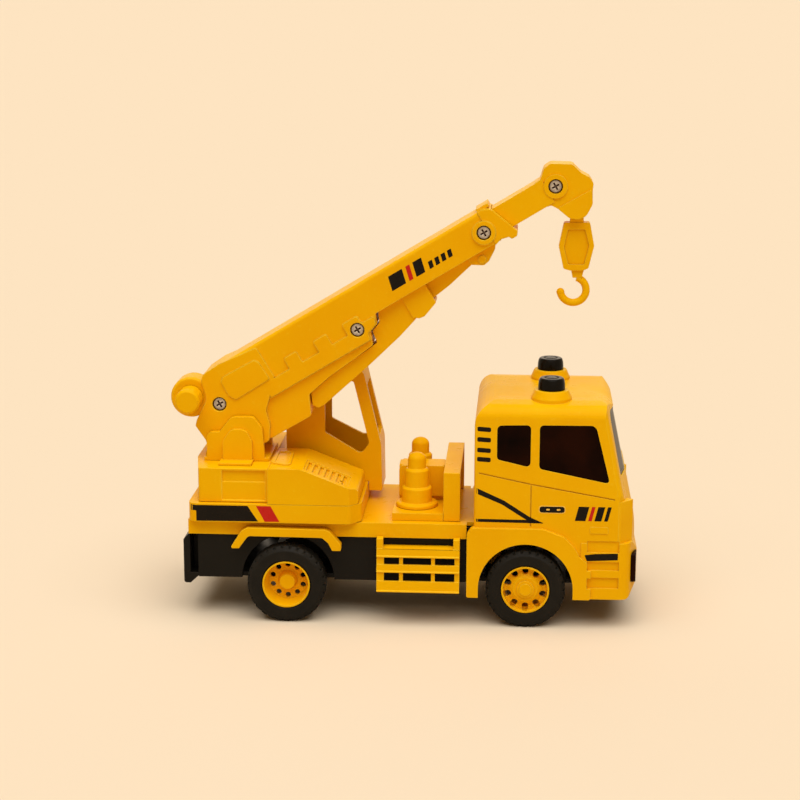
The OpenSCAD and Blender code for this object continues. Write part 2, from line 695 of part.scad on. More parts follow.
screen_plan = [[-far / 2, -cab_y - 0.6, 0], [-3.4, -cab_y - 0.6, 5], [0.2, -0.45 * cab_y, 30],
    [0.2, 0.45 * cab_y, 30], [-3.4, cab_y + 0.6, 5], [-far / 2, cab_y + 0.6, 0]];
screen_turn = 12;
screen_back = 3.05;
module cab_solid(d, foot) {
    intersection() {
        side_prism(inset(cab_side(foot), d), -cab_y - 1, cab_y + 1);
        front_prism(inset(cab_front(foot - 1), d), cab_x - 1, nose_x + 1);
        plan_prism(inset(cab_plan, d), foot - 1, roof_z + 1);
        translate([nose_x - screen_back, 0, belt_z]) rotate([0, -screen_turn, 0])
            plan_prism(inset(screen_plan, d), -far / 3, far / 3);
    }
}
// The bumper is the deeper front end below the cab's nose.
bumper_back = cab_x + 47;
function bumper_side(foot) = [[bumper_back, foot, 0], [bumper_x - 4.5, foot, 3], [bumper_x, foot + 6, 4],
    [bumper_x, bumper_top - 6, 4], [bumper_x - 2.6, bumper_top, 1.5], [bumper_back, bumper_top, 0]];
bumper_y = cab_y + 0.4;
bumper_plan = [[bumper_back, -bumper_y, 0], [bumper_x - 4.6, -bumper_y, 5], [bumper_x, -0.65 * cab_y, 16],
    [bumper_x, 0.65 * cab_y, 16], [bumper_x - 4.6, bumper_y, 5], [bumper_back, bumper_y, 0]];
module bumper_solid(d, foot) {
    intersection() {
        side_prism(inset(bumper_side(foot), d), -cab_y - 2, cab_y + 2);
        plan_prism(inset(bumper_plan, d), foot - 1, far);
    }
}
fender = [[cab_x - 2.9, cab_foot, 0.8], [cab_x + 51.5, cab_foot, 0.8], [cab_x + 51.5, 28.6, 1],
    [cab_x + 46.4, 33, 1.5], [cab_x + 44.2, 37, 3], [cab_x + 39.6, 41.8, 3], [cab_x + 30.5, 45.2, 6],
    [cab_x - 1, 45.2, 2.5], [cab_x - 2.9, 42, 2]];
module arch_cut(reach) {
    for (s = [-1, 1]) {
        bar_y(wheelbase, wheel_r, arch_r, s > 0 ? reach : -far, s > 0 ? far : -reach);
        block([wheelbase - arch_r, s > 0 ? reach : -far, 0],
            [wheelbase + arch_r, s > 0 ? far : -reach, wheel_r]);
    }
}
// Side windows and windscreen, as prisms that run right through the walls.
window_top = roof_z - 8.9;
rear_window = [[cab_x + 9.8, belt_z + 17.3, 1.6], [cab_x + 24.4, belt_z + 13.9, 1.8],
    [cab_x + 24.4, window_top, 1.8], [cab_x + 9.8, window_top - 0.4, 2]];
door_window = [[cab_x + 28.2, belt_z + 13.4, 1.8], [cab_x + 59, belt_z + 7.2, 1.2],
    [cab_x + 52.4, window_top + 0.2, 3], [cab_x + 28.2, window_top, 1.8]];
windscreen = [[-cab_y + 5.6, screen_z + 0.4, 2], [cab_y - 5.6, screen_z + 0.4, 2],
    [cab_y - 7.5, window_top + 5, 4], [7.5 - cab_y, window_top + 5, 4]];
module windows(d) {
    side_prism(inset(rear_window, d), -far, far);
    side_prism(inset(door_window, d), -far, far);
    front_prism(inset(windscreen, d), nose_x - 19, far);
}
// The headlamps stand proud of the bumper's corners.
lamp = [[25.5, 20.2, 1.5], [33.5, 20.2, 1.5], [33.5, 33.6, 1.5], [25.5, 33.6, 1.5]];
lamp_plan = [[bumper_x - 9, 24, 0], [bumper_x - 0.2, 24, 0], [bumper_x - 0.7, 31, 3],
    [bumper_x - 1.2, 35, 0],
    [bumper_x - 9, 35, 0]];
// Grooves in the cab's sides: under the windows, and the door's rear edge.
grooves = [[[cab_x + 2, 69.9, 0], [cab_x + 2, 69.4, 0], [door_x, 64.8, 0], [nose_x - 10, 58.5, 0],
    [nose_x - 10, 59, 0], [door_x, 65.3, 0]],
    [[door_x, 46, 0], [door_x + 0.5, 46, 0], [door_x + 0.5, 65, 0], [door_x, 65, 0]]];
module cab_grooves() {
    groove_deep = 0.4;
    difference() {
        for (g = grooves) side_prism(g, -far, far);
        cab_solid(groove_deep, 5);
    }
}
module cab_shell() {
    pod = [8.9, 7.3];
    shoulder_z = roof_z + 0.9;
    badge = [[nose_x - 20.5, 43.3, 0.5], [nose_x - 12.6, 43.3, 0.5], [nose_x - 12.6, 46.3, 0.5],
        [nose_x - 20.5, 46.3, 0.5]];
    corner = [[nose_x - 7.8, -cab_y - 0.3, 1], [nose_x - 1.2, 6.8 - cab_y, 1], [nose_x - 5, 9 - cab_y, 0],
        [nose_x - 11, 3 - cab_y, 0]];
    step_x = [cab_x + 49.8, cab_x + 63.7];
    steps = [[18.5, 23.4], [26.7, 30.6], [34.8, bumper_top + 1]];
    color(yellow) placed() difference() {
        union() {
            difference() {
                union() {
                    cab_solid(0, cab_foot);
                    bumper_solid(0, cab_foot);
                    both_sides() side_prism(fender, -cab_y - fender_proud, -cab_y + cab_t);
                    both_sides() side_prism(badge, -cab_y - 0.3, -cab_y + cab_t);
                    both_sides() plan_prism(corner, bumper_top - 2, belt_z - 1);
                    for (s = [-1, 1]) translate([beacon_x, s * beacon_y, 0]) rotate_extrude()
                        polygon([[0, roof_z - 6], [pod[0], roof_z - 6], [pod[0], shoulder_z],
                            [pod[1] + 0.3, pod_z - 0.5], [pod[1], pod_z], [0, pod_z]]);
                }
                cab_solid(cab_t, 5);
                bumper_solid(cab_t, 5);
                cab_grooves();
                windows(0);
                block([bumper_back - 1, -cab_y + cab_t, 0], [bumper_back + cab_t + 1,
                    cab_y - cab_t, bumper_top - cab_t]);
            }
            for (p = cab_posts, s = [-1, 1])
                bar_z(p[0], s * p[1], post_r, boss_top + seat_gap, roof_z - 1);
        }
        block([cab_x - 1, -tray_y - 0.6, 0], [cab_x + cab_t + 0.5, tray_y + 0.6, tray_top + seat_gap]);
        arch_cut(cab_y - cab_t - 0.5);
        for (p = cab_posts, s = [-1, 1]) bar_z(p[0], s * p[1], screw_r + hold_fit, 0, boss_top + 13);
        for (s = [-1, 1]) bar_z(beacon_x, s * beacon_y, 2 + hold_fit, pod_z - 3.4, far);
        for (r = steps) both_sides() block([step_x[0], -far, r[0]], [step_x[1], 1 - bumper_y, r[1]]);
        both_sides() front_prism(lamp, bumper_x - 9, far);
        for (z = [44, 47, 50]) block([nose_x - 1.4, -16, z], [far, 16, z + 1.6]);
    }
}
module window_insert() {
    skin = cab_t + seat_gap;
    recess = 0.4;
    color(smoke) placed() difference() {
        union() {
            intersection() {
                cab_solid(skin, cab_foot);
                block([cab_x, -cab_y, belt_z + 4], [nose_x, cab_y, roof_z - 3.5]);
            }
            intersection() {
                cab_solid(recess, cab_foot);
                windows(seat_gap);
            }
        }
        cab_solid(skin + glass_t, cab_foot);
        for (p = cab_posts, s = [-1, 1]) bar_z(p[0], s * p[1], post_r + seat_gap, 0, far);
    }
}
module beacon(side) {
    skirt = 1.2;
    cap_r = 0.5 * beacon_r;
    dome = [for (a = [0:12:60]) [cap_r + 0.6 + (beacon_r - cap_r - 0.6) * cos(a),
        skirt + (beacon_h - skirt) * sin(a * 1.5)]];
    profile = concat([[0, -3], [2, -3], [2, 0], [beacon_r, 0]], dome, [[cap_r + 0.3, beacon_h],
        [cap_r + 0.1, beacon_h - 0.4], [cap_r - 0.3, beacon_h - 0.4], [cap_r - 0.5, beacon_h],
            [0, beacon_h + 0.2]]);
    color(black) placed() translate([beacon_x, side * beacon_y, pod_z + seat_gap])
        rotate_extrude() polygon(profile);
}
module beacon_right() beacon(-1);
module beacon_left() beacon(1);
module headlamp(side) {
    color(smoke) placed() mirror([0, side > 0 ? 0 : 1, 0]) difference() {
        intersection() {
            front_prism(inset(lamp, seat_gap), bumper_x - 9, far);
            plan_prism(lamp_plan, 0, belt_z);
        }
        bumper_solid(cab_t + 0.4, cab_foot);
    }
}
module headlamp_right() headlamp(-1);
module headlamp_left() headlamp(1);

// ---- Slewing house ------------------------------------------------------------------------------
king_low = deck_z - 5.7;
plat_x = [slew_x - 36.9, slew_x + 39.5];
plat_plan = [[plat_x[0], -plat_y, 4], [plat_x[1] - 5, -plat_y, 3], [plat_x[1], 6 - plat_y, 3],
    [plat_x[1], plat_y - 6, 3], [plat_x[1] - 5, plat_y, 3], [plat_x[0], plat_y, 4]];
opcab_x = slew_x + 10;
opcab_mid = opcab_y + opcab_w / 2;
house_posts = [[slew_x - 27, -26], [slew_x - 27, 26], [slew_x - 8, -26], [slew_x - 8, 26]];
hood_posts = [[slew_x + 7, -31], [slew_x + 30, -29]];
opcab_posts = [[opcab_x + 8, opcab_mid], [opcab_x + 23, opcab_mid]];
bracket_posts = [[pivot.x - 11.6, boom_y - 5], [pivot.x - 11.6, boom_y + 5]];
low_screws = concat(house_posts, hood_posts, opcab_posts);
module slew_platform() {
    color(yellow) placed() difference() {
        union() {
            difference() {
                plan_prism(plat_plan, plat_z, plat_top);
                plan_prism(inset(plat_plan, house_t), plat_z - 1, plat_top - house_t);
            }
            bar_z(slew_x, 0, king_r, king_low, plat_top);
            bar_z(slew_x, 0, king_r + 2, plat_z, plat_top);
            for (a = [45:90:315]) translate([slew_x, 0, plat_z + 1.5]) rotate([0, 0, a])
                translate([king_r, -0.8, 0]) cube([plat_y - king_r - 2, 1.6, plat_h - 2]);
        }
        bar_z(slew_x, 0, king_r - 2, king_low + 4, plat_top - house_t);
        bar_z(slew_x, 0, screw_r + hold_fit, 0, plat_top - 2);
        for (p = low_screws) bar_z(p[0], p[1], screw_r + hold_fit, 0, far);
        for (p = low_screws) bar_z(p[0], p[1], head_r + 0.2, 0, plat_top - house_t);
    }
}
washer_t = 1.4;
module turntable_washer() {
    color(steel) placed() difference() {
        bar_z(slew_x, 0, king_r + 2.5, king_low - seat_gap - washer_t, king_low - seat_gap);
        bar_z(slew_x, 0, screw_r + hold_fit, 0, far);
    }
}
module turntable_screw() {
    color(steel) placed() translate([slew_x, 0, king_low - 2 * seat_gap - washer_t - head_h]) screw(9);
}
house_plan = [[slew_x - 32.4, -house_w / 2, 1.5], [house_front, -house_w / 2, 0],
    [house_front, house_w / 2, 0],
    [slew_x - 32.4, house_w / 2, 1.5], [slew_x - 36.1, 14, 12], [slew_x - 36.1, -14, 12]];
module machinery_house() {
    panel = [slew_x - 22, house_front - 1.2];
    ridge = house_z + 0.6 * house_h;
    color(yellow) placed() difference() {
        union() {
            difference() {
                plan_prism(house_plan, house_z, house_top);
                plan_prism(inset(house_plan, house_t), house_z - 1, house_top - house_t);
            }
            for (p = house_posts) bar_z(p[0], p[1], 2.8, house_z, house_top - 0.5);
        }
        for (p = house_posts) bar_z(p[0], p[1], screw_r + hold_fit, 0, house_z + 9);
        for (p = bracket_posts) bar_z(p[0], p[1], screw_r + hold_fit, 0, far);
        both_sides() {
            block([panel[0], -far, house_z + 1], [panel[1], 0.6 - house_w / 2, house_top - 1]);
            block([panel[0], -far, ridge], [panel[1], 1.2 - house_w / 2, house_top - 1]);
        }
    }
}
hood_top = house_top + 0.65;
hood_y = [-plat_y, 1];
hood_side = [[hood_back, house_z, 0], [hood_front, house_z, 0.8], [hood_front - 0.2, hood_top - 9.6, 2],
    [hood_front - 3, hood_top - 8.7, 2], [slew_x + 13, hood_top, 6], [hood_back, hood_top, 0.8]];
hood_plan = [[hood_back, hood_y[0], 0], [hood_front - 4, hood_y[0], 1.5],
    [hood_front, hood_y[0] + 4.4, 1.5],
    [hood_front, hood_y[1], 1.2], [hood_back, hood_y[1], 0]];
hood_slope = 8.7 / (hood_front - 3 - slew_x - 13);
function hood_roof(x) = hood_top - max(0, x - slew_x - 13) * hood_slope;
module engine_hood() {
    slope = atan(hood_slope);
    louvres = 7;
    hatch = [[hood_back + 0.5, -28, 2], [hood_back + 9.6, -32.6, 2], [hood_back + 8.4, -6.2, 2],
        [hood_back + 0.5, -6.9, 2]];
    color(yellow) placed() difference() {
        union() {
            difference() {
                intersection() {
                    side_prism(hood_side, hood_y[0], hood_y[1]);
                    plan_prism(hood_plan, house_z - 1, hood_top + 1);
                }
                intersection() {
                    side_prism(inset(hood_side, house_t), hood_y[0] - 1, hood_y[1] + 1);
                    plan_prism(inset(hood_plan, house_t), house_z - 1, hood_top + 1);
                }
                plan_prism(inset(hood_plan, house_t), house_z - 1, house_z + house_t + 0.1);
            }
            for (p = hood_posts) bar_z(p[0], p[1], 2.8, house_z, hood_roof(p[0] + 2.8) - 0.5);
            plan_prism(hatch, hood_top - 0.5, hood_top + 0.7);
        }
        plan_prism(inset(hatch, 1.5), hood_top + 0.3, far);
        for (p = hood_posts) bar_z(p[0], p[1], screw_r + hold_fit, 0, house_z + 9);
        translate([slew_x + 13, 0, hood_top]) rotate([0, slope, 0]) {
            block([1.2, -34.4, -0.4], [22.2, -17.6, 2]);
            for (i = [0:louvres - 1]) block([2.4 + 2.8 * i, -33.4, -1.3], [3.9 + 2.8 * i, -18.6, 2]);
        }
    }
}
opcab_z = plat_top + seat_gap;
opcab_top = opcab_z + opcab_h;
opcab_back = opcab_x - 8.2;
opcab_side = [[opcab_back, opcab_z, 0.6], [plat_x[1] + seat_gap + 0.2, opcab_z, 0],
    [plat_x[1] + seat_gap + 0.2, opcab_z - 4.4, 0.3], [opcab_x + 35.9, opcab_z - 4.4, 0.6],
    [opcab_x + 35.5, opcab_z + 17, 12], [opcab_x + 27.6, opcab_z + 50, 6], [opcab_x + 25.2, opcab_top, 3.5],
    [opcab_back + 4.5, opcab_top, 5], [opcab_back, opcab_top - 8, 6]];
opcab_window = [[opcab_x + 9.6, opcab_z + 22.8, 1], [opcab_x + 26.3, opcab_z + 12.7, 2.5],
    [opcab_x + 29.9, opcab_z + 18, 2], [opcab_x + 22.8, opcab_z + 46.8, 1],
    [opcab_x + 9.6, opcab_z + 46.8, 0.4]];
opcab_far_window = [[opcab_x + 10.8, opcab_z + 25, 1], [opcab_x + 26.3, opcab_z + 17.2, 2.5],
    [opcab_x + 29.2, opcab_z + 19.4, 2], [opcab_x + 22.8, opcab_z + 46.8, 1],
    [opcab_x + 10.8, opcab_z + 46.8, 0.4]];
module operator_cab() {
    y0 = opcab_y;
    y1 = opcab_y + opcab_w;
    front = [[y0 + 3, opcab_z + 21, 1.5], [y1 - 3, opcab_z + 21, 1.5], [y1 - 3, opcab_z + 45, 1.5],
        [y0 + 3, opcab_z + 45, 1.5]];
    color(yellow) placed() difference() {
        union() {
            difference() {
                side_prism(opcab_side, y0, y1);
                side_prism(inset(opcab_side, house_t), y0 + house_t, y1 - house_t);
                block([opcab_back + house_t, y0 + house_t, opcab_z - 5],
                    [plat_x[1] + seat_gap + 0.2 + house_t, y1 - house_t, opcab_z + 3]);
            }
            for (p = opcab_posts) bar_z(p[0], p[1], 2.8, opcab_z, opcab_z + 9);
            for (p = opcab_posts) block([p[0] - 0.8, y0 + 0.5, opcab_z],
                [p[0] + 0.8, y1 - 0.5, opcab_z + 6]);
        }
        for (p = opcab_posts) bar_z(p[0], p[1], screw_r + hold_fit, 0, opcab_z + 8);
        side_prism(opcab_window, y0 - 1, y0 + house_t + 1);
        side_prism(opcab_far_window, y1 - house_t - 1, y1 + 1);
        front_prism(front, opcab_x + 22, far);
    }
}
module house_screws() {
    color(steel) placed() {
        for (p = low_screws) translate([p[0], p[1], plat_top - house_t - seat_gap - head_h]) screw(8);
        for (p = bracket_posts) translate([p[0], p[1], house_top - house_t - seat_gap - head_h])
            screw(house_t + 2 * seat_gap + bracket_pad - 0.6);
    }
}
// Everything on the bracket is measured from the boom's pivot.
bracket_low = house_top + seat_gap - pivot.y;
bracket_pad = 2.6;
module boom_bracket() {
    base = bracket_low + 1.4;
    cheek_in = strip_half + slide_gap;
    cheek_out = strip_half + 3.3;
    boss_out = strip_half + 5.3;
    cheek = [[-14.1, bracket_low, 0], [11.9, bracket_low, 0], [10.8, 6.7, 4], [6.8, 11.9, 3],
        [-3, 11.7, 4], [-7.4, 6, 2], [-8.4, 4.8, 0.5], [-13, 4.7, 2], [-14.1, 2.5, 1]];
    boss = [[-6.6, bracket_low, 0], [6.4, bracket_low, 0], [6.5, 1, 4], [3.5, 6.5, 4], [-3, 6.5, 4],
        [-6.6, 1, 4]];
    color(yellow) placed() translate([pivot.x, boom_y, pivot.y]) difference() {
        union() {
            block([-15.4, -cheek_out, bracket_low], [14, cheek_out, base]);
            both_sides() side_prism(cheek, -cheek_out, -cheek_in);
            both_sides() side_prism(boss, -boss_out, -cheek_in - 1);
            block([-15.4, -10, bracket_low], [-8, 10, bracket_low + bracket_pad]);
            block([-7.6, -23.5, bracket_low], [6.9, -cheek_in - 1, bracket_low + 1]);
        }
        bar_y(0, 0, pivot_r + hold_fit, -boss_out + 1, boss_out - 1);
        for (p = bracket_posts) bar_z(p[0] - pivot.x, p[1] - boom_y,
            screw_r + hold_fit, bracket_low - 1, bracket_low + bracket_pad - 0.4);
    }
}
module boom_pivot_pin() {
    end = strip_half + 4.2;
    color(steel) placed() translate([pivot.x, boom_y, pivot.y]) bar_y(0, 0, pivot_r, -end, end);
}

// ---- Boom ---------------------------------------------------------------------------------------
// Outlines in the boom's own frame, anticlockwise, with the pivot at the origin.
heel = [[-13.6, 5.3, 1], [-8, 1.7, 3], [-4.7, -4.3, 3], [1.9, -6.3, 4], [11.8, -6.6, 1], [15.9, -0.7, 1.5],
    [17.7, 5.7, 3], [28.1, 15.5, 2], [29.1, 17.1, 1.5], [29, 32.2, 1], [10.3, 34.4, 2], [2.1, 33.9, 1.5],
    [-0.2, 32, 1.5], [-2.5, 23.4, 6], [-11.3, 17.9, 3], [-13.3, 15.9, 1.2], [-12.8, 7.9, 2]];
heel_panel = [[8.8, 16.8, 1.5], [27, 17.2, 0.8], [26.6, 26.2, 2], [25.4, 28, 1], [9.4, 28.6, 1.5],
    [7.3, 27.1, 1], [7.1, 19.9, 2]];
main_box = [[12.2, 7.7, 0], [21.7, 9.3, 1], [75.3, 9.3, 0.8], [76.2, 12.5, 1], [80.6, 14, 1],
    [82.4, box_low, 0.6], [box_end, box_low, 0], [box_end, box_high, 0], [12, box_high, 2]];
box_section = [[-box_half, 0, 0], [box_half, 0, 0], [box_half, box_high, box_edge],
    [-box_half, box_high, box_edge]];
strip = [[22.2, 9.6, 0.6], [74.6, 9.6, 0.8], [75.5, 12.7, 1], [80.1, 14.2, 1], [81.8, 17.9, 0.6],
    [75, 17.9, 0.6], [75, 21.8, 0.8], [67.3, 21.8, 0.8], [67, 16.3, 0.4], [59, 16.3, 0.4],
    [59, 21.8, 0.8], [52.2, 21.8, 0.8], [52.2, 16.3, 0.4], [43.5, 16.3, 0.4], [43.5, 21.9, 0.8],
    [37, 21.9, 0.8], [36.9, 16.5, 0.4], [27.8, 16.5, 0.4]];
belly = [[11.8, -6.5, 1], [33.6, -6.7, 1.5], [37.9, 2, 1.5], [50.1, 4.3, 6], [64, 5.6, 6], [74.2, 6.8, 1],
    [75, 9.9, 0], [30.3, 11.9, 0], [16.2, 9.6, 0]];
mouth = [[box_end - 3, box_low - 0.6, 0], [box_end, box_low + 0.4, 0.5], [150.2, 17.9, 0.5],
    [150.8, 16.5, 0.8], [153.4, 16.5, 0.8], [154.8, 18.2, 0.8], [154.1, 19.8, 0.8], [150, 31.2, 1.2],
    [149, 32.7, 0.8], [145.6, box_high + 0.3, 0.8], [box_end - 3, box_high, 0]];
eye_half = 3;
ram_bracket = [[129.4, box_low + 1, 0], [129.4, 15.2, 0.8], [134.1, 12.2, 1.5], [137, 12.7, 1.5],
    [141.9, 15.9, 1], [144.6, box_low + 1, 0]];
main_cavity = [[30, cavity_low, 0], [box_end + 20, cavity_low, 0], [box_end + 20, cavity_high, 0],
    [30, cavity_high, 0]];

heel_cavity = [[9.1, 4.8, 1], [14.1, 4.7, 1], [16.7, 8.6, 1], [26.2, 17.4, 1], [26.7, 30.9, 1],
    [9.2, 31.6, 1],
    [8.8, 11.8, 1]];
belly_cavity = [[22.9, -4.7, 1], [32.4, -4.8, 1], [36.3, 3.8, 1], [50.2, 6.2, 4], [65.2, 7.8, 1],
    [65.4, 17.1, 1],
    [32.4, 17.9, 1], [23.2, 9.5, 1]];
belly_half = 9;
// The screws of the shells: [place, how far the boss stands proud of the box]
shell_screws = [[heel_screw, strip_proud], [belly_screw, strip_proud], [neck_screw, strip_proud + 0.3]];
function head_seat(proud) = box_half + proud - head_h - 1;
// The winch housing: a cup that stands out of the right shell, closed by a disc on the left one.
module tail_cup() {
    disc = 1.2;
    cup_edge = 1.2;
    translate([tail.x, disc, tail.y]) rotate([90, 0, 0]) rotate_extrude()
        polygon(rounded([[0, 0, 0], [tail_r, 0, 0], [tail_r, tail_half + disc, cup_edge],
            [0, tail_half + disc, 0]]));
}
module boom_outer() {
    side_prism(heel, -strip_half, strip_half);
    side_prism(heel_panel, -strip_half - 0.6, strip_half + 0.6);
    intersection() {
        side_prism(main_box, -box_half, box_half);
        front_prism(box_section, 0, far);
    }
    side_prism(strip, -strip_half, strip_half);
    side_prism(belly, -belly_half, belly_half);
    side_prism(mouth, -box_half - 0.4, box_half + 0.4);
    side_prism(ram_bracket, -box_half + 4, box_half - 4);
    block([143.4, -jib_half, box_high - 0.5], [149.2, jib_half, box_high + 1.2]);
    tail_cup();
    bar_y(tail.x, tail.y, tail_boss_r, 0, tail_half - boom_t);
    bar_y(neck_screw.x, neck_screw.y, head_r + 2.5, -box_half - strip_proud - 0.3,
        box_half + strip_proud + 0.3);
    bar_y(ram_eye.x, ram_eye.y, 1.8, 0.3 - box_half + 3, box_half - 3.3);
}
module boom_inner() {
    w = jib_half + slide_gap;
    shell = box_half - boom_t;
    difference() {
        union() {
            side_prism(main_cavity, -w, w);
            side_prism(heel_cavity, -shell, shell);
            side_prism(belly_cavity, boom_t - belly_half, belly_half - boom_t);
        }
        bar_y(neck_screw.x, neck_screw.y, screw_r + 1.6, -w - 1, w + 1);
    }
    bar_y(tail.x, tail.y, tail_r - boom_t, boom_t - tail_half, 0);
}
module boom_half(side) {
    seam = seat_gap / 2;
    color(yellow) on_boom() difference() {
        intersection() {
            difference() {
                boom_outer();
                boom_inner();
            }
            block([-60, side > 0 ? seam : -20, -20], [180, side > 0 ? 20 : -seam, 60]);
        }
        bar_y(0, 0, pivot_r + run_fit, -20, 20);
        bar_y(tail.x, tail.y, winch_r + run_fit, -20, winch_deep + slide_gap);
        side_prism([[126.4, 7, 0], [139.9, 7, 0], [139.9, box_low, 0], [126.4, box_low, 0]],
            -eye_half - slide_gap, eye_half + slide_gap);
        bar_y(ram_eye.x, ram_eye.y, ram_pin_r + hold_fit, 1.4 - box_half + 3, box_half - 4.4);
        for (s = shell_screws) {
            bar_y(s[0].x, s[0].y, screw_r + hold_fit, -20, side > 0 ? 6 : 20);
            bar_y(s[0].x, s[0].y, head_r + 0.5, -20, -head_seat(s[1]));
        }
    }
}
module boom_shell_right() boom_half(-1);
module boom_shell_left() boom_half(1);
module boom_screws() {
    color(steel) on_boom() for (s = shell_screws)
        translate([s[0].x, -head_seat(s[1]) - head_h - seat_gap, s[0].y]) rotate([-90, 0, 0]) screw(14);
}

// The ram lies under the boom, from the belly to the eye near the boom's mouth.
ram_pin_r = 1.2;
ram_half = 6;
ram_top = box_low - seat_gap;
barrel = [[36, -3.4, 0.5], [37.9, -5.8, 1], [41, -5.8, 1.5], [67.3, -0.6, 8], [85.9, 3.7, 8],
    [96.4, 6.9, 0.5],
    [96.4, ram_top, 0], [83.4, ram_top, 0.5], [81.2, 13.6, 0.5], [76.7, 12, 0.5], [75.7, 6.4, 0.5],
    [64, 5.3, 6], [50.1, 4, 6], [38.3, 1.8, 0.5]];
collar = [[95.4, 8, 0.5], [97.6, 6.4, 0.6], [100.1, 6, 0.6], [107.6, 8.7, 0.6], [107.6, ram_top, 0],
    [95.4, ram_top, 0]];
rod = [[104.3, 10.2, 0], [116.5, 11.9, 8], [129.4, 14.8, 1], [134.2, 14.2, 0], [134.2, ram_top, 0],
    [104.3, ram_top, 0]];
// The rod's tail lies in a groove along the top of the barrel.
rod_tail = [91.4, 104.9];
rod_low = 10.4;
module ram_barrel() {
    color(yellow) on_boom() difference() {
        union() {
            side_prism(barrel, -ram_half, ram_half);
            side_prism(collar, -ram_half - 1, ram_half + 1);
        }
        block([rod_tail[0] - slide_gap, -eye_half - slide_gap, rod_low - 0.5],
            [far, eye_half + slide_gap, far]);
    }
}
module ram_rod() {
    color(yellow) on_boom() difference() {
        union() {
            block([rod_tail[0], -eye_half, rod_low], [rod_tail[1], eye_half, ram_top]);
            side_prism(rod, -eye_half, eye_half);
            bar_y(ram_eye.x, ram_eye.y, 2.7, -eye_half, eye_half);
        }
        bar_y(ram_eye.x, ram_eye.y, ram_pin_r + run_fit, -20, 20);
    }
}
module ram_pin() {
    end = box_half - 4.8;
    color(steel) on_boom() bar_y(ram_eye.x, ram_eye.y, ram_pin_r, -end, end);
}

// Winch: a spool in the boom's tail, turned by a knob on the right-hand side.
winch_r = 1.6;
winch_end = tail_half + 5;
winch_deep = 5.5;
spool = [boom_t + slide_gap - tail_half, -slide_gap];
module winch_drum() {
    flange_t = 1.2;
    flange_r = tail_r - boom_t - 0.8;
    color(black) on_boom() {
        bar_y(tail.x, tail.y, winch_r, -winch_end, winch_deep);
        bar_y(tail.x, tail.y, 2 * winch_r, spool[0], spool[1]);
        for (y = [spool[0], spool[1] - flange_t]) bar_y(tail.x, tail.y, flange_r, y, y + flange_t);
    }
}
module winch_knob() {
    low = tail_half + slide_gap;
    bevel = 1;
    flats = 12;
    profile = [[0, 0], [knob_r, 0], [knob_r, knob_out - bevel], [knob_r - bevel, knob_out], [0, knob_out]];
    color(yellow) on_boom() translate([tail.x, -low, tail.y]) rotate([90, 0, 0]) difference() {
        intersection() {
            rotate_extrude() polygon(profile);
            cylinder(r = knob_r + 0.12, h = knob_out, $fn = flats);
        }
        translate([0, 0, -1]) cylinder(r = winch_r + hold_fit, h = 1 + winch_end - low + 0.4);
    }
}

// Telescopic jib: a slotted tail inside the boom, a neck outside it and a head for the hook.
jib_body = [[jib_tail, jib_low, 0.6], [174.6, jib_low, 0], [174.6, jib_high, 0], [jib_tail, jib_high, 0.6]];
jib_head = [[170.9, 20.3, 0], [172.5, 20.1, 2], [175, 16.1, 2], [176.6, 11.6, 3], [179.7, 9, 3],
    [183.2, 8.5, 4],
    [188.3, 11.6, 4], [191, 16.3, 2], [193, 19, 1.5], [192.8, 22.2, 2], [190.7, 25.5, 3],
        [189.3, 30.7, 2],
    [181.3, 35.8, 3], [177.9, 35.5, 2], [174, 32, 1], [171.2, 31.9, 0]];
jib_lobe = [[174.2, 17.6, 0.6], [176.4, 11.4, 3], [179.6, 8.8, 3], [183.2, 8.3, 4], [188.4, 11.5, 4],
    [190.9, 17.2, 0.6]];
hook_slot = hook_t / 2 + slide_gap;
module jib_half_shell(side) {
    seam = seat_gap / 2;
    reach = screw_r + 1.6 + slide_gap;
    slot_back = neck_screw.x - jib_travel;
    core = [[jib_tail + 4, jib_low + 1.6, 0.6], [slot_back - reach - 3, jib_low + 1.6, 0.6],
        [slot_back - reach - 3, jib_high - 1.6, 0.6], [jib_tail + 4, jib_high - 1.6, 0.6]];
    neck_core = [[neck_screw.x + reach + 3, jib_low + 2, 0.6], [169.6, jib_low + 2, 0.6],
        [169.6, jib_high - 2, 0.6], [neck_screw.x + reach + 3, jib_high - 2, 0.6]];
    color(yellow) on_boom() difference() {
        union() {
            side_prism(jib_body, side > 0 ? seam : -jib_half, side > 0 ? jib_half : -seam);
            side_prism(jib_head, side > 0 ? seam : -head_half, side > 0 ? head_half : -seam);
            side_prism(jib_lobe, side > 0 ? seam : -head_half - 0.6, side > 0 ? head_half + 0.6 : -seam);
            bar_y(head_screw.x, head_screw.y, head_r + 2.5, side > 0 ? seam : -head_half - 0.9,
                side > 0 ? head_half + 0.9 : -seam);
        }
        for (s = [slot_back, neck_screw.x]) bar_y(s, neck_screw.y, reach, -far, far);
        block([slot_back, -far, neck_screw.y - reach], [neck_screw.x, far, neck_screw.y + reach]);
        side_prism(core, 1.8 - jib_half, jib_half - 1.8);
        side_prism(neck_core, 1.8 - jib_half, jib_half - 1.8);
        side_prism([[171, 4, 0], [197, 4, 0], [197, 18.9, 0], [171, 18.9, 0]], -hook_slot, hook_slot);
        bar_y(hook_at.x, hook_at.y, hook_pin_r + hold_fit, 0.8 - head_half, head_half - 0.8);
        bar_y(head_screw.x, head_screw.y, screw_r + hold_fit, -20, side > 0 ? 5 : 20);
        bar_y(head_screw.x, head_screw.y, head_r + 0.5, -20, -jib_seat);
    }
}
jib_seat = head_half - head_h - 0.4;
module jib_shell_right() jib_half_shell(-1);
module jib_shell_left() jib_half_shell(1);
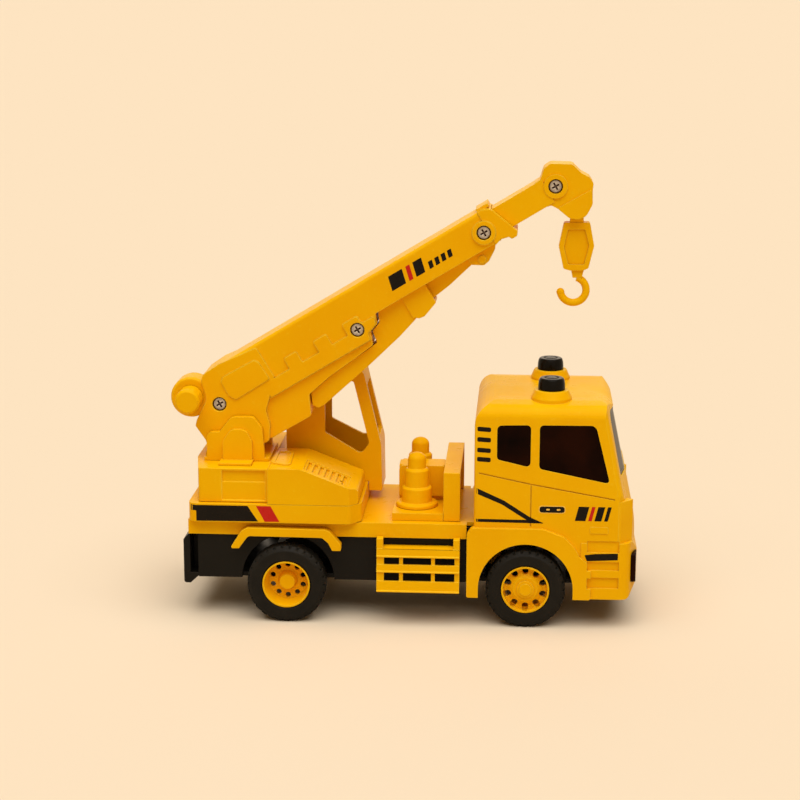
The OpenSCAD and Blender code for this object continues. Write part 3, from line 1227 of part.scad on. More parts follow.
module jib_screw() {
    color(steel) on_boom() translate([head_screw.x, -jib_seat - head_h - seat_gap, head_screw.y])
        rotate([-90, 0, 0]) screw(9.5);
}
module hook_pin() {
    end = head_half - 1.2;
    color(steel) on_boom() bar_y(hook_at.x, hook_at.y, hook_pin_r, -end, end);
}

// The hook hangs straight down from its pin whatever the boom's angle.
hook_x = pivot.x + hook_at.x * cos(boom_angle) - hook_at.y * sin(boom_angle);
hook_z = pivot.y + hook_at.x * sin(boom_angle) + hook_at.y * cos(boom_angle);
module hook_block() {
    block_outline = [[-5.4, -25.9, 1], [-2.5, -26.7, 1], [3.3, -26.6, 1], [5.5, -25.6, 1], [7.8, -15.7, 2],
        [5.8, -5.5, 1], [-5.5, -5.6, 1], [-7.6, -16.2, 2]];
    recess = [[-3.4, -24, 0.6], [3.6, -24, 0.6], [5.6, -15.6, 1.5], [3.7, -8.5, 0.6], [-3.7, -8.6, 0.6],
        [-5.4, -16.1, 1.5]];
    stem = [[-1.3, -30, 0], [2.7, -30, 0], [3.7, -26.2, 0.6], [-2.1, -26.2, 0.6]];
    bow = [-0.9, -35.6];
    root_angle = 76;
    tip_angle = 190;
    tip_bulge = 0.12;
    reach = 3 * hook_bow;
    opening = [for (a = [root_angle, (root_angle + tip_angle) / 2, tip_angle]) reach * [cos(a), sin(a)]];
    half = hook_t / 2;
    color(yellow) placed() translate([hook_x, boom_y, hook_z]) difference() {
        union() {
            side_prism(block_outline, -half, half);
            side_prism([[-3, -6.5, 0], [3, -6.5, 0], [3, 0, 0], [-3, 0, 0]], 0.3 - half, half - 0.3);
            bar_y(0, 0, 3, 0.3 - half, half - 0.3);
            side_prism(stem, -hook_bar, hook_bar);
            translate([bow.x, 0, bow.y]) rotate([90, 0, 0]) {
                difference() {
                    rotate_extrude() translate([hook_bow, 0]) circle(r = hook_bar, $fn = 24);
                    translate([0, 0, -hook_bow]) linear_extrude(2 * hook_bow) polygon(concat([[0, 0]],
                        opening));
                }
                rotate([0, 0, tip_angle]) translate([hook_bow, 0, 0])
                    sphere(r = hook_bar + tip_bulge, $fn = 24);
            }
        }
        both_sides() side_prism(recess, half - 0.9, half + 1);
        bar_y(0, 0, hook_pin_r + run_fit, -20, 20);
    }
}

chassis_tray();
deck();
rear_mudguard_right();
rear_mudguard_left();
side_step_right();
side_step_left();
pump_base();
tank_right();
tank_left();
headboard();
cab_shell();
window_insert();
beacon_right();
beacon_left();
headlamp_right();
headlamp_left();
motor_case_right();
motor_case_left();
chassis_screws();
front_axle();
front_hub_right();
front_hub_left();
front_tyre_right();
front_tyre_left();
rear_axle();
rear_hub_right();
rear_hub_left();
rear_tyre_right();
rear_tyre_left();
drive_gear();
idler_gear();
idler_pin();
flywheel();
flywheel_pinion();
slew_platform();
turntable_washer();
turntable_screw();
machinery_house();
engine_hood();
operator_cab();
house_screws();
boom_bracket();
boom_pivot_pin();
boom_shell_right();
boom_shell_left();
boom_screws();
ram_barrel();
ram_rod();
ram_pin();
winch_drum();
winch_knob();
jib_shell_right();
jib_shell_left();
jib_screw();
hook_pin();
hook_block();
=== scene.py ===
"""Looks of the yellow toy truck crane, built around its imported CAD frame.

Lengths in the outlines are in millimetres, in one of three flat frames: truck (x ahead of the
rear axle, z above the floor), nose (y to the left, z above the floor) and boom (s along the
boom, t across it, from its pivot). The frame itself is in metres: +X to the truck's front,
+Y to its left, +Z up.
"""

import json
import math

import bmesh
import bpy
from mathutils import Matrix, Vector
from mathutils.bvhtree import BVHTree


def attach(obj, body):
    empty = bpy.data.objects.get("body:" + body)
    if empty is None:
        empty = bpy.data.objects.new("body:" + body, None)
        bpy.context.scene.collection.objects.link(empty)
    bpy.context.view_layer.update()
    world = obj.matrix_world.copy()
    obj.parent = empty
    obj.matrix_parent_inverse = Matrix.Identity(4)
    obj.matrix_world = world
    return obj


MM = 0.001
# Ways out of the truck's right side, which faces the camera, of its left side and its nose.
RIGHT, LEFT, AHEAD = Vector((0, -1, 0)), Vector((0, 1, 0)), Vector((1, 0, 0))

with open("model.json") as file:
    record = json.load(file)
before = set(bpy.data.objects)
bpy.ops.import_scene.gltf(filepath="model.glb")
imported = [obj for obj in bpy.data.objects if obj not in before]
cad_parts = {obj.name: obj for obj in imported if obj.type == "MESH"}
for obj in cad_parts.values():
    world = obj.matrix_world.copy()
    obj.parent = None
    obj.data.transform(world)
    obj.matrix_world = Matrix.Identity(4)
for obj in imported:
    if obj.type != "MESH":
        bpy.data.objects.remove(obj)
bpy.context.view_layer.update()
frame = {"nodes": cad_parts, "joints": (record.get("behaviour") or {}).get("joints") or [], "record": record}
nodes = frame["nodes"]
joints = {j["name"]: j for j in frame["joints"]}
rear_axle = Vector(joints["rear_roll"]["pos_m"])
pivot = Vector(joints["boom_luff"]["pos_m"])
along = Vector(joints["jib_extend"]["axis"])
across = Vector((-along.z, 0, along.x))


def truck(x, z):
    """A point in the truck's side view."""
    return Vector((rear_axle.x + x * MM, 0, z * MM))


def nose(y, z):
    """A point in the truck's front view."""
    return Vector((0, y * MM, z * MM))


def boom(s, t):
    """A point in the boom's side view."""
    return Vector((pivot.x, 0, pivot.z)) + along * (s * MM) + across * (t * MM)


# ---- Materials -------------------------------------------------------------------------
BEVEL_SAMPLES = 4
HOLLOW_SAMPLES = 6
# Cosine between the rounded and the true normal: at or above the first there is no edge, at
# or below the second it is a full one.
EDGE_COSINES = (0.99, 0.9)
# How open a corner is, from 0 to 1: at or above the first it isn't hollow, at or below the
# second it is fully so.
HOLLOW_OPENNESS = (0.6, 0.25)


class Shader:
    """A Principled material built from noise, with short calls for the nodes it needs."""

    def __init__(self, name):
        self.material = bpy.data.materials.new(name)
        self.material.use_nodes = True
        self.tree = self.material.node_tree
        self.tree.nodes.clear()
        self.bsdf = self.node("ShaderNodeBsdfPrincipled")
        output = self.node("ShaderNodeOutputMaterial")
        self.link(self.bsdf.outputs["BSDF"], output.inputs["Surface"])
        self.place = self.node("ShaderNodeTexCoord").outputs["Object"]
        self.soft = None

    def node(self, kind, **settings):
        made = self.tree.nodes.new(kind)
        for key, value in settings.items():
            setattr(made, key, value)
        return made

    def link(self, a, b):
        self.tree.links.new(a, b)

    def set(self, **sockets):
        for key, value in sockets.items():
            self.bsdf.inputs[key.replace("_", " ")].default_value = value

    def noise(self, size_mm, detail=2.0, roughness=0.5, stretch=None):
        """Noise whose features are about size_mm across, 0 to 1."""
        source = self.place
        if stretch:
            mapping = self.node("ShaderNodeMapping")
            mapping.inputs["Scale"].default_value = stretch
            self.link(source, mapping.inputs["Vector"])
            source = mapping.outputs["Vector"]
        made = self.node("ShaderNodeTexNoise")
        made.inputs["Scale"].default_value = 1 / (size_mm * MM)
        made.inputs["Detail"].default_value = detail
        made.inputs["Roughness"].default_value = roughness
        self.link(source, made.inputs["Vector"])
        return made.outputs["Fac"]

    def spread(self, value, between, to=(0.0, 1.0)):
        """Maps the two limits in between to the two in to, and holds what lies past them."""
        made = self.node("ShaderNodeMapRange")
        made.inputs["From Min"].default_value, made.inputs["From Max"].default_value = between
        made.inputs["To Min"].default_value, made.inputs["To Max"].default_value = to
        self.link(value, made.inputs["Value"])
        return made.outputs["Result"]

    def patches(self, between, to=(0.0, 1.0), **grain):
        """Noise with that grain, with the part of it in between spread over to."""
        return self.spread(self.noise(**grain), between, to)

    def times(self, a, b):
        made = self.node("ShaderNodeMath", operation="MULTIPLY")
        self.link(a, made.inputs[0])
        self.link(b, made.inputs[1])
        return made.outputs["Value"]

    def blend(self, factor, a, b):
        """Colour a where factor is 0, b where it is 1; each is a colour or a socket."""
        made = self.node("ShaderNodeMix", data_type="RGBA")
        for key, value in (("Factor", factor), ("A", a), ("B", b)):
            sockets = [s for s in made.inputs if s.name == key and s.enabled]
            if isinstance(value, (tuple, list)):
                sockets[0].default_value = (*value, 1)
            else:
                self.link(value, sockets[0])
        return next(s for s in made.outputs if s.name == "Result" and s.enabled)

    def rounded(self, radius_mm):
        """The surface normal with the edges rounded off, as the mould leaves them."""
        self.soft = self.node("ShaderNodeBevel", samples=BEVEL_SAMPLES)
        self.soft.inputs["Radius"].default_value = radius_mm * MM

    def edge(self):
        """0 on flat faces, rising to 1 where the rounded normal leaves the true one."""
        true = self.node("ShaderNodeNewGeometry")
        dot = self.node("ShaderNodeVectorMath", operation="DOT_PRODUCT")
        self.link(self.soft.outputs["Normal"], dot.inputs[0])
        self.link(true.outputs["True Normal"], dot.inputs[1])
        return self.spread(dot.outputs["Value"], EDGE_COSINES)

    def hollows(self, reach_mm, openness=HOLLOW_OPENNESS):
        """Mask for painted shade: 0 in the open, rising to 1 in corners and recesses narrower than the
        reach.
        """
        shade = self.node("ShaderNodeAmbientOcclusion", samples=HOLLOW_SAMPLES)
        shade.inputs["Distance"].default_value = reach_mm * MM
        return self.spread(shade.outputs["AO"], openness)

    def bump(self, *layers):
        """Layers are (height socket, height in mm at full strength)."""
        last = self.soft.outputs["Normal"] if self.soft else None
        for height, depth_mm in layers:
            made = self.node("ShaderNodeBump")
            made.inputs["Strength"].default_value = 1.0
            made.inputs["Distance"].default_value = depth_mm * MM
            self.link(height, made.inputs["Height"])
            if last:
                self.link(last, made.inputs["Normal"])
            last = made.outputs["Normal"]
        self.link(last, self.bsdf.inputs["Normal"])

    def colour(self, socket):
        self.link(socket, self.bsdf.inputs["Base Color"])

    def rough(self, socket):
        self.link(socket, self.bsdf.inputs["Roughness"])


MIDDLE = (0.3, 0.7)  # the part of a noise that most of a surface lies in
# Layers of the moulded plastic.
DRIFT = dict(size_mm=22, detail=3, between=(0.35, 0.65))
FLECKS = dict(size_mm=1.7, detail=3, between=(0.60, 0.78), to=(0, 0.15))
# Patches of the painted highlight on the edges.
HIGHLIGHT_PATCHES = dict(size_mm=3.5, detail=3, roughness=0.6, between=(0.35, 0.7), to=(0.45, 1.0))
FLOW_MARKS = dict(size_mm=9, detail=5, roughness=0.62, stretch=(1, 1, 0.5), between=MIDDLE)
SINKS = dict(size_mm=7, detail=2, roughness=0.4)
SINKS_DEEP_MM = 0.02
PLASTIC_IOR = 1.5


def moulded(
    name, base, deep, pale, rough=(0.24, 0.38), grain_mm=0.35, grain_deep_mm=0.004,
    edge_mm=0.35, specular=0.03, shade_colour=None, reach_mm=0.8,
):
    """Moulded plastic: slight drift of colour, flow marks, a faint grain, painted highlights on its edges
    and, given a colour for it, painted shade in its hollows.
    """
    s = Shader(name)
    s.rounded(edge_mm)
    tone = s.blend(s.patches(**DRIFT), base, deep)
    tone = s.blend(s.patches(**FLECKS), tone, pale)
    # Painted highlight: the rounded edges turn paler in patches, as if they caught the light.
    edge_highlight = s.times(s.edge(), s.patches(**HIGHLIGHT_PATCHES))
    tone = s.blend(edge_highlight, tone, pale)
    # Painted shade: corners and recesses darken towards the shade colour.
    s.colour(s.blend(s.hollows(reach_mm), tone, shade_colour) if shade_colour else tone)
    s.rough(s.patches(**FLOW_MARKS, to=rough))
    s.bump((s.noise(grain_mm), grain_deep_mm), (s.noise(**SINKS), SINKS_DEEP_MM))
    s.set(IOR=PLASTIC_IOR, Specular_IOR_Level=specular)
    return s


# The yellow: most of it, where the pigment is deeper, pale in flecks and as a painted highlight on edges,
# and the painted shade in hollows.
BODY_YELLOW, BODY_DEEP = (0.92, 0.505, 0.001), (0.90, 0.468, 0.0008)
BOOM_YELLOW, BOOM_DEEP = (0.92, 0.483, 0.001), (0.90, 0.452, 0.0008)
PALE_YELLOW = (1.0, 0.78, 0.06)
PAINTED_SHADE_YELLOW = (0.50, 0.135, 0.0)

yellow = moulded("yellow_plastic", BODY_YELLOW, BODY_DEEP, PALE_YELLOW, shade_colour=PAINTED_SHADE_YELLOW)
boom_yellow = moulded(
    "boom_yellow_plastic", BOOM_YELLOW, BOOM_DEEP, PALE_YELLOW, edge_mm=0.8,
    shade_colour=PAINTED_SHADE_YELLOW,
)
# The hook block's wider reach paints deeper shade into its recesses.
hook_yellow = moulded(
    "hook_yellow_plastic", BODY_YELLOW, BODY_DEEP, PALE_YELLOW, edge_mm=0.45,
    shade_colour=PAINTED_SHADE_YELLOW, reach_mm=2.4,
)
black = moulded(
    "black_plastic", (0.0075, 0.0065, 0.0045), (0.006, 0.005, 0.0035), (0.022, 0.020, 0.016),
    rough=(0.36, 0.5), grain_mm=0.22, grain_deep_mm=0.008, specular=0.12,
)
beacon = moulded(
    "beacon_black", (0.007, 0.006, 0.004), (0.005, 0.004, 0.003), (0.02, 0.018, 0.014),
    rough=(0.10, 0.18), grain_deep_mm=0.002, specular=0.07,
)
smoked = moulded(
    "smoked_plastic", (0.0030, 0.0008, 0.0002), (0.016, 0.0030, 0.0006),
    (0.012, 0.005, 0.002), rough=(0.04, 0.08), grain_deep_mm=0.0008, edge_mm=0.2,
    specular=0.03,
)
white = moulded(
    "white_plastic", (0.78, 0.76, 0.70), (0.72, 0.70, 0.63), (0.86, 0.85, 0.8),
    rough=(0.4, 0.55),
)

# Layers of the tyres' rubber.
RUBBER, RUBBER_DUSTY = (0.0085, 0.0075, 0.0055), (0.020, 0.017, 0.012)
RUBBER_SCUFFED = (0.030, 0.027, 0.021)
RUBBER_EDGE_MM = 0.3
DUST = dict(size_mm=6, detail=5, roughness=0.6, between=(0.45, 0.75), to=(0, 0.4))
SCUFFS = dict(size_mm=2, detail=3)
RUBBER_ROUGH = dict(size_mm=2.5, detail=4, between=MIDDLE, to=(0.48, 0.66))
RUBBER_GRAIN, RUBBER_GRAIN_DEEP_MM = dict(size_mm=0.18, detail=3, roughness=0.6), 0.012
RUBBER_WAVES, RUBBER_WAVES_DEEP_MM = dict(size_mm=1.6), 0.01
RUBBER_SPECULAR = 0.12


def rubber():
    """Dusty rubber, scuffed along its lugs."""
    s = Shader("tyre_rubber")
    s.rounded(RUBBER_EDGE_MM)
    tone = s.blend(s.patches(**DUST), RUBBER, RUBBER_DUSTY)
    s.colour(s.blend(s.times(s.edge(), s.noise(**SCUFFS)), tone, RUBBER_SCUFFED))
    s.rough(s.patches(**RUBBER_ROUGH))
    s.bump(
        (s.noise(**RUBBER_GRAIN), RUBBER_GRAIN_DEEP_MM),
        (s.noise(**RUBBER_WAVES), RUBBER_WAVES_DEEP_MM),
    )
    s.set(Specular_IOR_Level=RUBBER_SPECULAR)
    return s


# Layers of the screws, axles and pins.
ZINC_DULL, ZINC_BRIGHT = (0.36, 0.31, 0.26), (0.66, 0.61, 0.55)
# Painted shade in and around the screw heads' recesses.
ZINC_PAINTED_SHADE = (0.030, 0.008, 0.003)
ZINC_EDGE_MM = 0.15
ZINC_REACH_MM, ZINC_OPENNESS = 2.0, (0.95, 0.5)
ZINC_CLOUDS = dict(size_mm=0.8, detail=4, roughness=0.6, between=MIDDLE)
ZINC_ROUGH = dict(size_mm=0.5, detail=3, roughness=0.6, between=MIDDLE, to=(0.18, 0.34))
TURNING, TURNING_DEEP_MM = dict(size_mm=0.12, stretch=(1, 6, 1)), 0.006


def zinc():
    """Zinc-plated steel with fine turning marks and painted shade in its recesses."""
    s = Shader("zinc_steel")
    s.rounded(ZINC_EDGE_MM)
    tone = s.blend(s.patches(**ZINC_CLOUDS), ZINC_DULL, ZINC_BRIGHT)
    s.colour(s.blend(s.hollows(ZINC_REACH_MM, ZINC_OPENNESS), tone, ZINC_PAINTED_SHADE))
    s.rough(s.patches(**ZINC_ROUGH))
    s.bump((s.noise(**TURNING), TURNING_DEEP_MM))
    s.set(Metallic=1.0)
    return s


# Layers of the printed films.
SPECKS = dict(size_mm=0.5, detail=3, roughness=0.7, between=(0.62, 0.8), to=(0, 0.5))
FADED = dict(size_mm=4, detail=3, between=(0.4, 0.7), to=(0, 0.25))
INK_ROUGH = dict(size_mm=3, detail=4, between=MIDDLE, to=(0.22, 0.34))
INK_GRAIN, INK_GRAIN_DEEP_MM = dict(size_mm=0.25), 0.003
INK_SPECULAR = 0.12


def ink(name, base, pale):
    """Printed film: even colour with faint screen grain and slightly worn patches."""
    s = Shader(name)
    tone = s.blend(s.patches(**SPECKS), base, pale)
    s.colour(s.blend(s.patches(**FADED), tone, pale))
    s.rough(s.patches(**INK_ROUGH))
    s.bump((s.noise(**INK_GRAIN), INK_GRAIN_DEEP_MM))
    s.set(Specular_IOR_Level=INK_SPECULAR)
    return s


tyre = rubber()
steel = zinc()
black_ink = ink("black_ink", (0.0060, 0.0040, 0.0022), (0.014, 0.009, 0.005))
red_ink = ink("red_ink", (0.56, 0.016, 0.010), (0.64, 0.04, 0.02))
pale_ink = ink("pale_ink", (0.96, 0.60, 0.10), (0.97, 0.66, 0.16))

# Finish of each of the record's material slots, and of the nodes that have one of their own.
FINISH = {
    "yellow_plastic": yellow, "black_plastic": black, "beacon_black": beacon, "tyre": tyre,
    "smoked_plastic": smoked, "white_plastic": white, "steel": steel,
}
OWN_FINISH = {
    "boom_shell_right": boom_yellow, "boom_shell_left": boom_yellow, "hook_block": hook_yellow,
}
SLOT = {row["node"]: row["material_slot"] for row in frame["record"]["subparts"]}

# ---- CAD nodes: real finish and softened edges -----------------------------------------
# Width of the rounding in mm, by a part of the name, for the nodes whose faces are plain
# enough to be rounded.
EDGE_MM = {
    "beacon": 0.15, "boom_pivot": 0.2, "boom_screws": 0.1, "chassis_screws": 0.1,
    "house_screws": 0.1, "jib_screw": 0.1, "turntable_screw": 0.1, "flywheel": 0.1,
    "headboard": 0.28, "hook_pin": 0.12, "idler_pin": 0.1, "machinery_house": 0.28,
    "motor_case": 0.2, "ram_barrel": 0.25, "ram_rod": 0.25, "ram_pin": 0.12,
    "rear_mudguard": 0.25, "tank": 0.22, "tyre": 0.25, "side_step": 0.25,
    "turntable_washer": 0.1, "winch": 0.2, "headlamp": 0.15,
}
WELD_MM = 0.003
FLAT_ANGLE, FINE_FLAT_ANGLE = math.radians(0.6), math.radians(0.1)
FINE = ("tyre", "tank")  # the nodes whose flat faces are narrow
SHARP_ANGLE = math.radians(32)
BEVEL_SEGMENTS = 2
SOFTENED_WEIGHT, PLAIN_WEIGHT = 60, 90  # of large faces over small ones, in the normals


def even_normals(node, weight):
    """Lets the larger faces round a corner set its normal, so that slivers don't show."""
    normals = node.modifiers.new("normals", "WEIGHTED_NORMAL")
    normals.keep_sharp = False
    normals.weight = weight


def soften(node, width_mm, flat_angle):
    """Welds the node's faces, merges the flat ones and rounds the sharp edges."""
    node.data.shade_smooth()
    weld = node.modifiers.new("weld", "WELD")
    weld.merge_threshold = WELD_MM * MM
    flat = node.modifiers.new("flat", "DECIMATE")
    flat.decimate_type = "DISSOLVE"
    flat.angle_limit = flat_angle
    rounded = node.modifiers.new("rounded", "BEVEL")
    rounded.width = width_mm * MM
    rounded.segments = BEVEL_SEGMENTS
    rounded.limit_method = "ANGLE"
    rounded.angle_limit = SHARP_ANGLE
    rounded.use_clamp_overlap = False
    rounded.miter_outer = "MITER_ARC"
    even_normals(node, SOFTENED_WEIGHT)


for name, node in nodes.items():
    finish = OWN_FINISH.get(name, FINISH[SLOT[name]])
    node.data.materials.clear()
    node.data.materials.append(finish.material)
    width = next((w for part, w in EDGE_MM.items() if part in name), None)
    if width:
        fine = any(part in name for part in FINE)
        soften(node, width, FINE_FLAT_ANGLE if fine else FLAT_ANGLE)
    else:
        even_normals(node, PLAIN_WEIGHT)

# ---- Printed film ----------------------------------------------------------------------
FILM_MM = 0.06  # how far a film stands above the skin
SUNK_MM = 0.03  # how far its back lies under the skin
CELL_MM = 1.2  # widest cell of its grid
BRIDGED_MM = 0.5  # half the width of the grooves that a film goes straight across
REACH = 1.0  # how far out a ray towards the truck starts, in metres
CORNER_STEPS = 4
CORNER_SHARE = 2.1  # a rounded corner takes up to one part in this many of a side
SHORTEST_MM = 1e-6


def skin_of(name):
    """Search tree of a CAD node's mesh, as it stands at rest."""
    mesh = nodes[name].data
    corners = [v.co for v in mesh.vertices]
    return BVHTree.FromPolygons(corners, [p.vertices for p in mesh.polygons])


def height(point, out, skin):
    """How far out the skin stands behind or before a point, seen along out, or None."""
    hit = skin.ray_cast(point + out * REACH, -out)[0]
    return None if hit is None else hit.dot(out)


def on_skin(point, out, skin):
    """The point moved along out onto the skin, with narrow grooves bridged, or None."""
    aside = out.cross(Vector((0, 0, 1))) * (BRIDGED_MM * MM)
    here = height(point, out, skin)
    before, after = (height(point + move, out, skin) for move in (-aside, aside))
    if here is None:
        return None
    if before is not None and after is not None:
        here = max(here, min(before, after))
    return point + out * (here - point.dot(out))


def rounded_outline(points, radius):
    """A closed outline with its corners rounded, as a list of points."""
    result = []
    for i, here in enumerate(points):
        before, after = Vector(points[i - 1]), Vector(points[(i + 1) % len(points)])
        here = Vector(here)
        to_before, to_after = before - here, after - here
        half = to_before.angle(to_after) / 2
        shorter = min(to_before.length, to_after.length)
        back = min(radius / math.tan(half), shorter / CORNER_SHARE)
        a, b = here + to_before.normalized() * back, here + to_after.normalized() * back
        for k in range(CORNER_STEPS + 1):
            f = k / CORNER_STEPS
            result.append(a.lerp(here, f).lerp(here.lerp(b, f), f))
    return result


def patch(outline, radius):
    """A fine flat grid inside a convex outline."""
    edge = rounded_outline(outline, radius)
    low = Vector((min(p.x for p in edge), min(p.y for p in edge)))
    high = Vector((max(p.x for p in edge), max(p.y for p in edge)))
    middle, wide = (low + high) / 2, high - low
    bm = bmesh.new()
    bmesh.ops.create_grid(
        bm, size=0.5, x_segments=math.ceil(wide.x / CELL_MM),
        y_segments=math.ceil(wide.y / CELL_MM),
        matrix=Matrix.Translation((*middle, 0)) @ Matrix.Diagonal((*wide, 1, 1)),
    )
    for i, start in enumerate(edge):
        run = edge[(i + 1) % len(edge)] - start
        if run.length < SHORTEST_MM:
            continue
        outwards = Vector((run.y, -run.x, 0))
        if outwards.xy.dot(middle - start) > 0:
            outwards.negate()
        bmesh.ops.bisect_plane(
            bm, geom=[*bm.verts, *bm.edges, *bm.faces], plane_co=(*start, 0),
            plane_no=outwards, clear_outer=True,
        )
    return bm


INKS = {  # the ink's finish and the material slot that it counts to
    "black": (black_ink, "black_plastic"), "red": (red_ink, "yellow_plastic"),
    "pale": (pale_ink, "yellow_plastic"),
}


def film(name, outline, ink_name, radius, layer=0, *, place, out, on, body):
    """A thin printed patch inside a convex outline in mm, on a skin and riding on a body.

    Place puts a point of the outline into the frame, and out is the way that the film faces.
    A film of a higher layer lies on those below it.
    """
    finish, slot = INKS[ink_name]
    base = layer * FILM_MM - SUNK_MM
    bm = patch(outline, radius)
    for vert in bm.verts:
        spot = on_skin(place(vert.co.x, vert.co.y), out, on)
        if spot is None:
            raise SystemExit(f"{name} reaches past its node at {tuple(vert.co.xy)}")
        vert.co = spot + out * (base * MM)
    grown = bmesh.ops.extrude_face_region(bm, geom=bm.faces[:], use_keep_orig=True)
    for vert in (g for g in grown["geom"] if isinstance(g, bmesh.types.BMVert)):
        vert.co += out * ((FILM_MM + SUNK_MM) * MM)
    bmesh.ops.recalc_face_normals(bm, faces=bm.faces)
    mesh = bpy.data.meshes.new(name)
    bm.to_mesh(mesh)
    bm.free()
    piece = bpy.data.objects.new(name, mesh)
    bpy.context.scene.collection.objects.link(piece)
    mesh.materials.append(finish.material)
    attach(piece, body)


def slanted(start, wide, low, high, lean):
    """A bar between two heights whose top leans ahead."""
    end = start + wide
    return [(start, low), (end, low), (end + lean, high), (start + lean, high)]


def bar_ink(i):
    """The ink of a bar in a row: the second one is red."""
    return "red" if i == 1 else "black"


SQUARE_MM = 0.02  # corner radius of the films that meet others
BAR_CORNER_MM = 0.15
VENT_TOPS = (90.3, 85.7, 81.0, 76.9)
VENT_HIGH = 2.0
VENT_DROP = 0.35  # how much lower their front end is
VENT_X = (83.9, 89.8)
VENT_CORNER_MM = 0.7
# The black lines on the cab's side, in convex parts.
STROKES = {
    "stroke_high": [(83.7, 63.0), (83.7, 60.5), (94.9, 55.8), (95.9, 57.5)],
    "stroke_mid": [(95.9, 57.5), (94.9, 55.8), (105.2, 49.3), (107.1, 50.3)],
    "stroke_tip": [(107.1, 50.3), (105.2, 49.3), (107.9, 48.0), (113.2, 47.6)],
    "stroke_low": [(83.8, 49.0), (83.8, 47.7), (112.9, 47.5), (107.6, 48.95)],
}
HANDLE, HANDLE_CORNER_MM = slanted(111.4, 10.9, 52.5, 55.2, 0), 1.2
HANDLE_RIM, HANDLE_RIM_CORNER_MM = slanted(111.05, 11.6, 52.15, 55.55, 0), 1.4
GLINT_STARTS = (114.2, 118.8)
GLINT_WIDE, GLINT_LOW, GLINT_HIGH, GLINT_LEAN = 1.5, 53.5, 54.2, 0.2
GLINT_CORNER_MM = 0.3
SLOT_BAR = [(131.4, 33.6), (132.4, 30.9), (145.9, 31.6), (145.9, 34.6), (136.0, 34.2)]
SLOT_CORNER_MM = 0.2
# Plain slanted bars on the door, along the boom and round the platform.
DOOR_BARS = ((126.8, 4.6), (132.6, 1.5), (135.3, 3.0), (139.5, 1.6))  # start and width
DOOR_BARS_Z = (49.0, 55.4)
DOOR_BARS_LEAN = 1.6
BOOM_SMALL_BARS = tuple((113.4 + 3.2 * i, 2.0, 26.4) for i in range(4))
BOOM_BARS = (  # start, width and top
    (94.2, 7.0, 29.6), (103.0, 2.0, 29.6), (106.6, 4.4, 29.6), *BOOM_SMALL_BARS,
)
BOOM_BARS_FOOT = 23.2
BOOM_BARS_SLOPE = 4  # height for each unit that they lean
PLATFORM_BARS = {
    "band": ([(-42.2, 50.4), (-19.6, 50.4), (-20.9, 52.9), (-42.2, 52.9)], "black"),
    "block": ([(-39.7, 45.7), (-12.3, 45.9), (-15.3, 50.4), (-39.7, 50.4)], "black"),
    "corner": ([(-19.6, 50.4), (-15.3, 50.4), (-16.9, 52.9), (-20.9, 52.9)], "black"),
    "red_bar": ([(-9.3, 45.8), (-2.8, 45.9), (-6.7, 52.9), (-13.1, 52.9)], "red"),
}


def side_films(end, out):
    """Everything printed on one side of the truck."""
    on_cab = dict(place=truck, out=out, on=skin_of("cab_shell"), body="truck")
    on_platform = dict(place=truck, out=out, on=skin_of("slew_platform"), body="slewing_house")
    on_boom = dict(place=boom, out=out, on=skin_of(f"boom_shell_{end}"), body="boom")
    for i, top in enumerate(VENT_TOPS):
        (a, b), low = VENT_X, top - VENT_HIGH
        bar = [(a, low), (b, low - VENT_DROP), (b, top - VENT_DROP), (a, top)]
        film(f"cab_vent_{i + 1}_{end}", bar, "black", VENT_CORNER_MM, **on_cab)
    for name, outline in STROKES.items():
        film(f"cab_{name}_{end}", outline, "black", SQUARE_MM, **on_cab)
    film(f"door_handle_rim_{end}", HANDLE_RIM, "pale", HANDLE_RIM_CORNER_MM, **on_cab)
    film(f"door_handle_{end}", HANDLE, "black", HANDLE_CORNER_MM, 1, **on_cab)
    for i, start in enumerate(GLINT_STARTS):
        glint = slanted(start, GLINT_WIDE, GLINT_LOW, GLINT_HIGH, GLINT_LEAN)
        film(f"door_handle_glint_{i + 1}_{end}", glint, "pale", GLINT_CORNER_MM, 2, **on_cab)
    film(f"bumper_slot_{end}", SLOT_BAR, "black", SLOT_CORNER_MM, **on_cab)
    for i, (start, wide) in enumerate(DOOR_BARS):
        bar = slanted(start, wide, *DOOR_BARS_Z, DOOR_BARS_LEAN)
        film(f"door_stripe_{i + 1}_{end}", bar, bar_ink(i), BAR_CORNER_MM, **on_cab)
    for name, (outline, ink_name) in PLATFORM_BARS.items():
        film(f"platform_{name}_{end}", outline, ink_name, SQUARE_MM, **on_platform)
    for i, (start, wide, top) in enumerate(BOOM_BARS):
        lean = (top - BOOM_BARS_FOOT) / BOOM_BARS_SLOPE
        bar = slanted(start, wide, BOOM_BARS_FOOT, top, lean)
        film(f"boom_stripe_{i + 1}_{end}", bar, bar_ink(i), BAR_CORNER_MM, **on_boom)


side_films("right", RIGHT)
side_films("left", LEFT)

SEAL_MM = 1.1
GLASS_LOW, GLASS_HIGH = (30.9, 68.2), (29.0, 95.7)  # half width and height


def windscreen_seal():
    """A black seal round the windscreen, just inside the cab's opening."""
    on_glass = dict(place=nose, out=AHEAD, on=skin_of("window_insert"), body="truck")
    (wide_low, low), (wide_high, high) = GLASS_LOW, GLASS_HIGH
    corners = [(-wide_low, low), (wide_low, low), (wide_high, high), (-wide_high, high)]
    inner = [
        (y - math.copysign(SEAL_MM, y), z + (SEAL_MM if z == low else -SEAL_MM))
        for y, z in corners
    ]
    for i, name in enumerate(("low", "left", "high", "right")):
        j = (i + 1) % len(corners)
        bar = [corners[i], corners[j], inner[j], inner[i]]
        film(f"windscreen_seal_{name}", bar, "black", SQUARE_MM, **on_glass)


windscreen_seal()

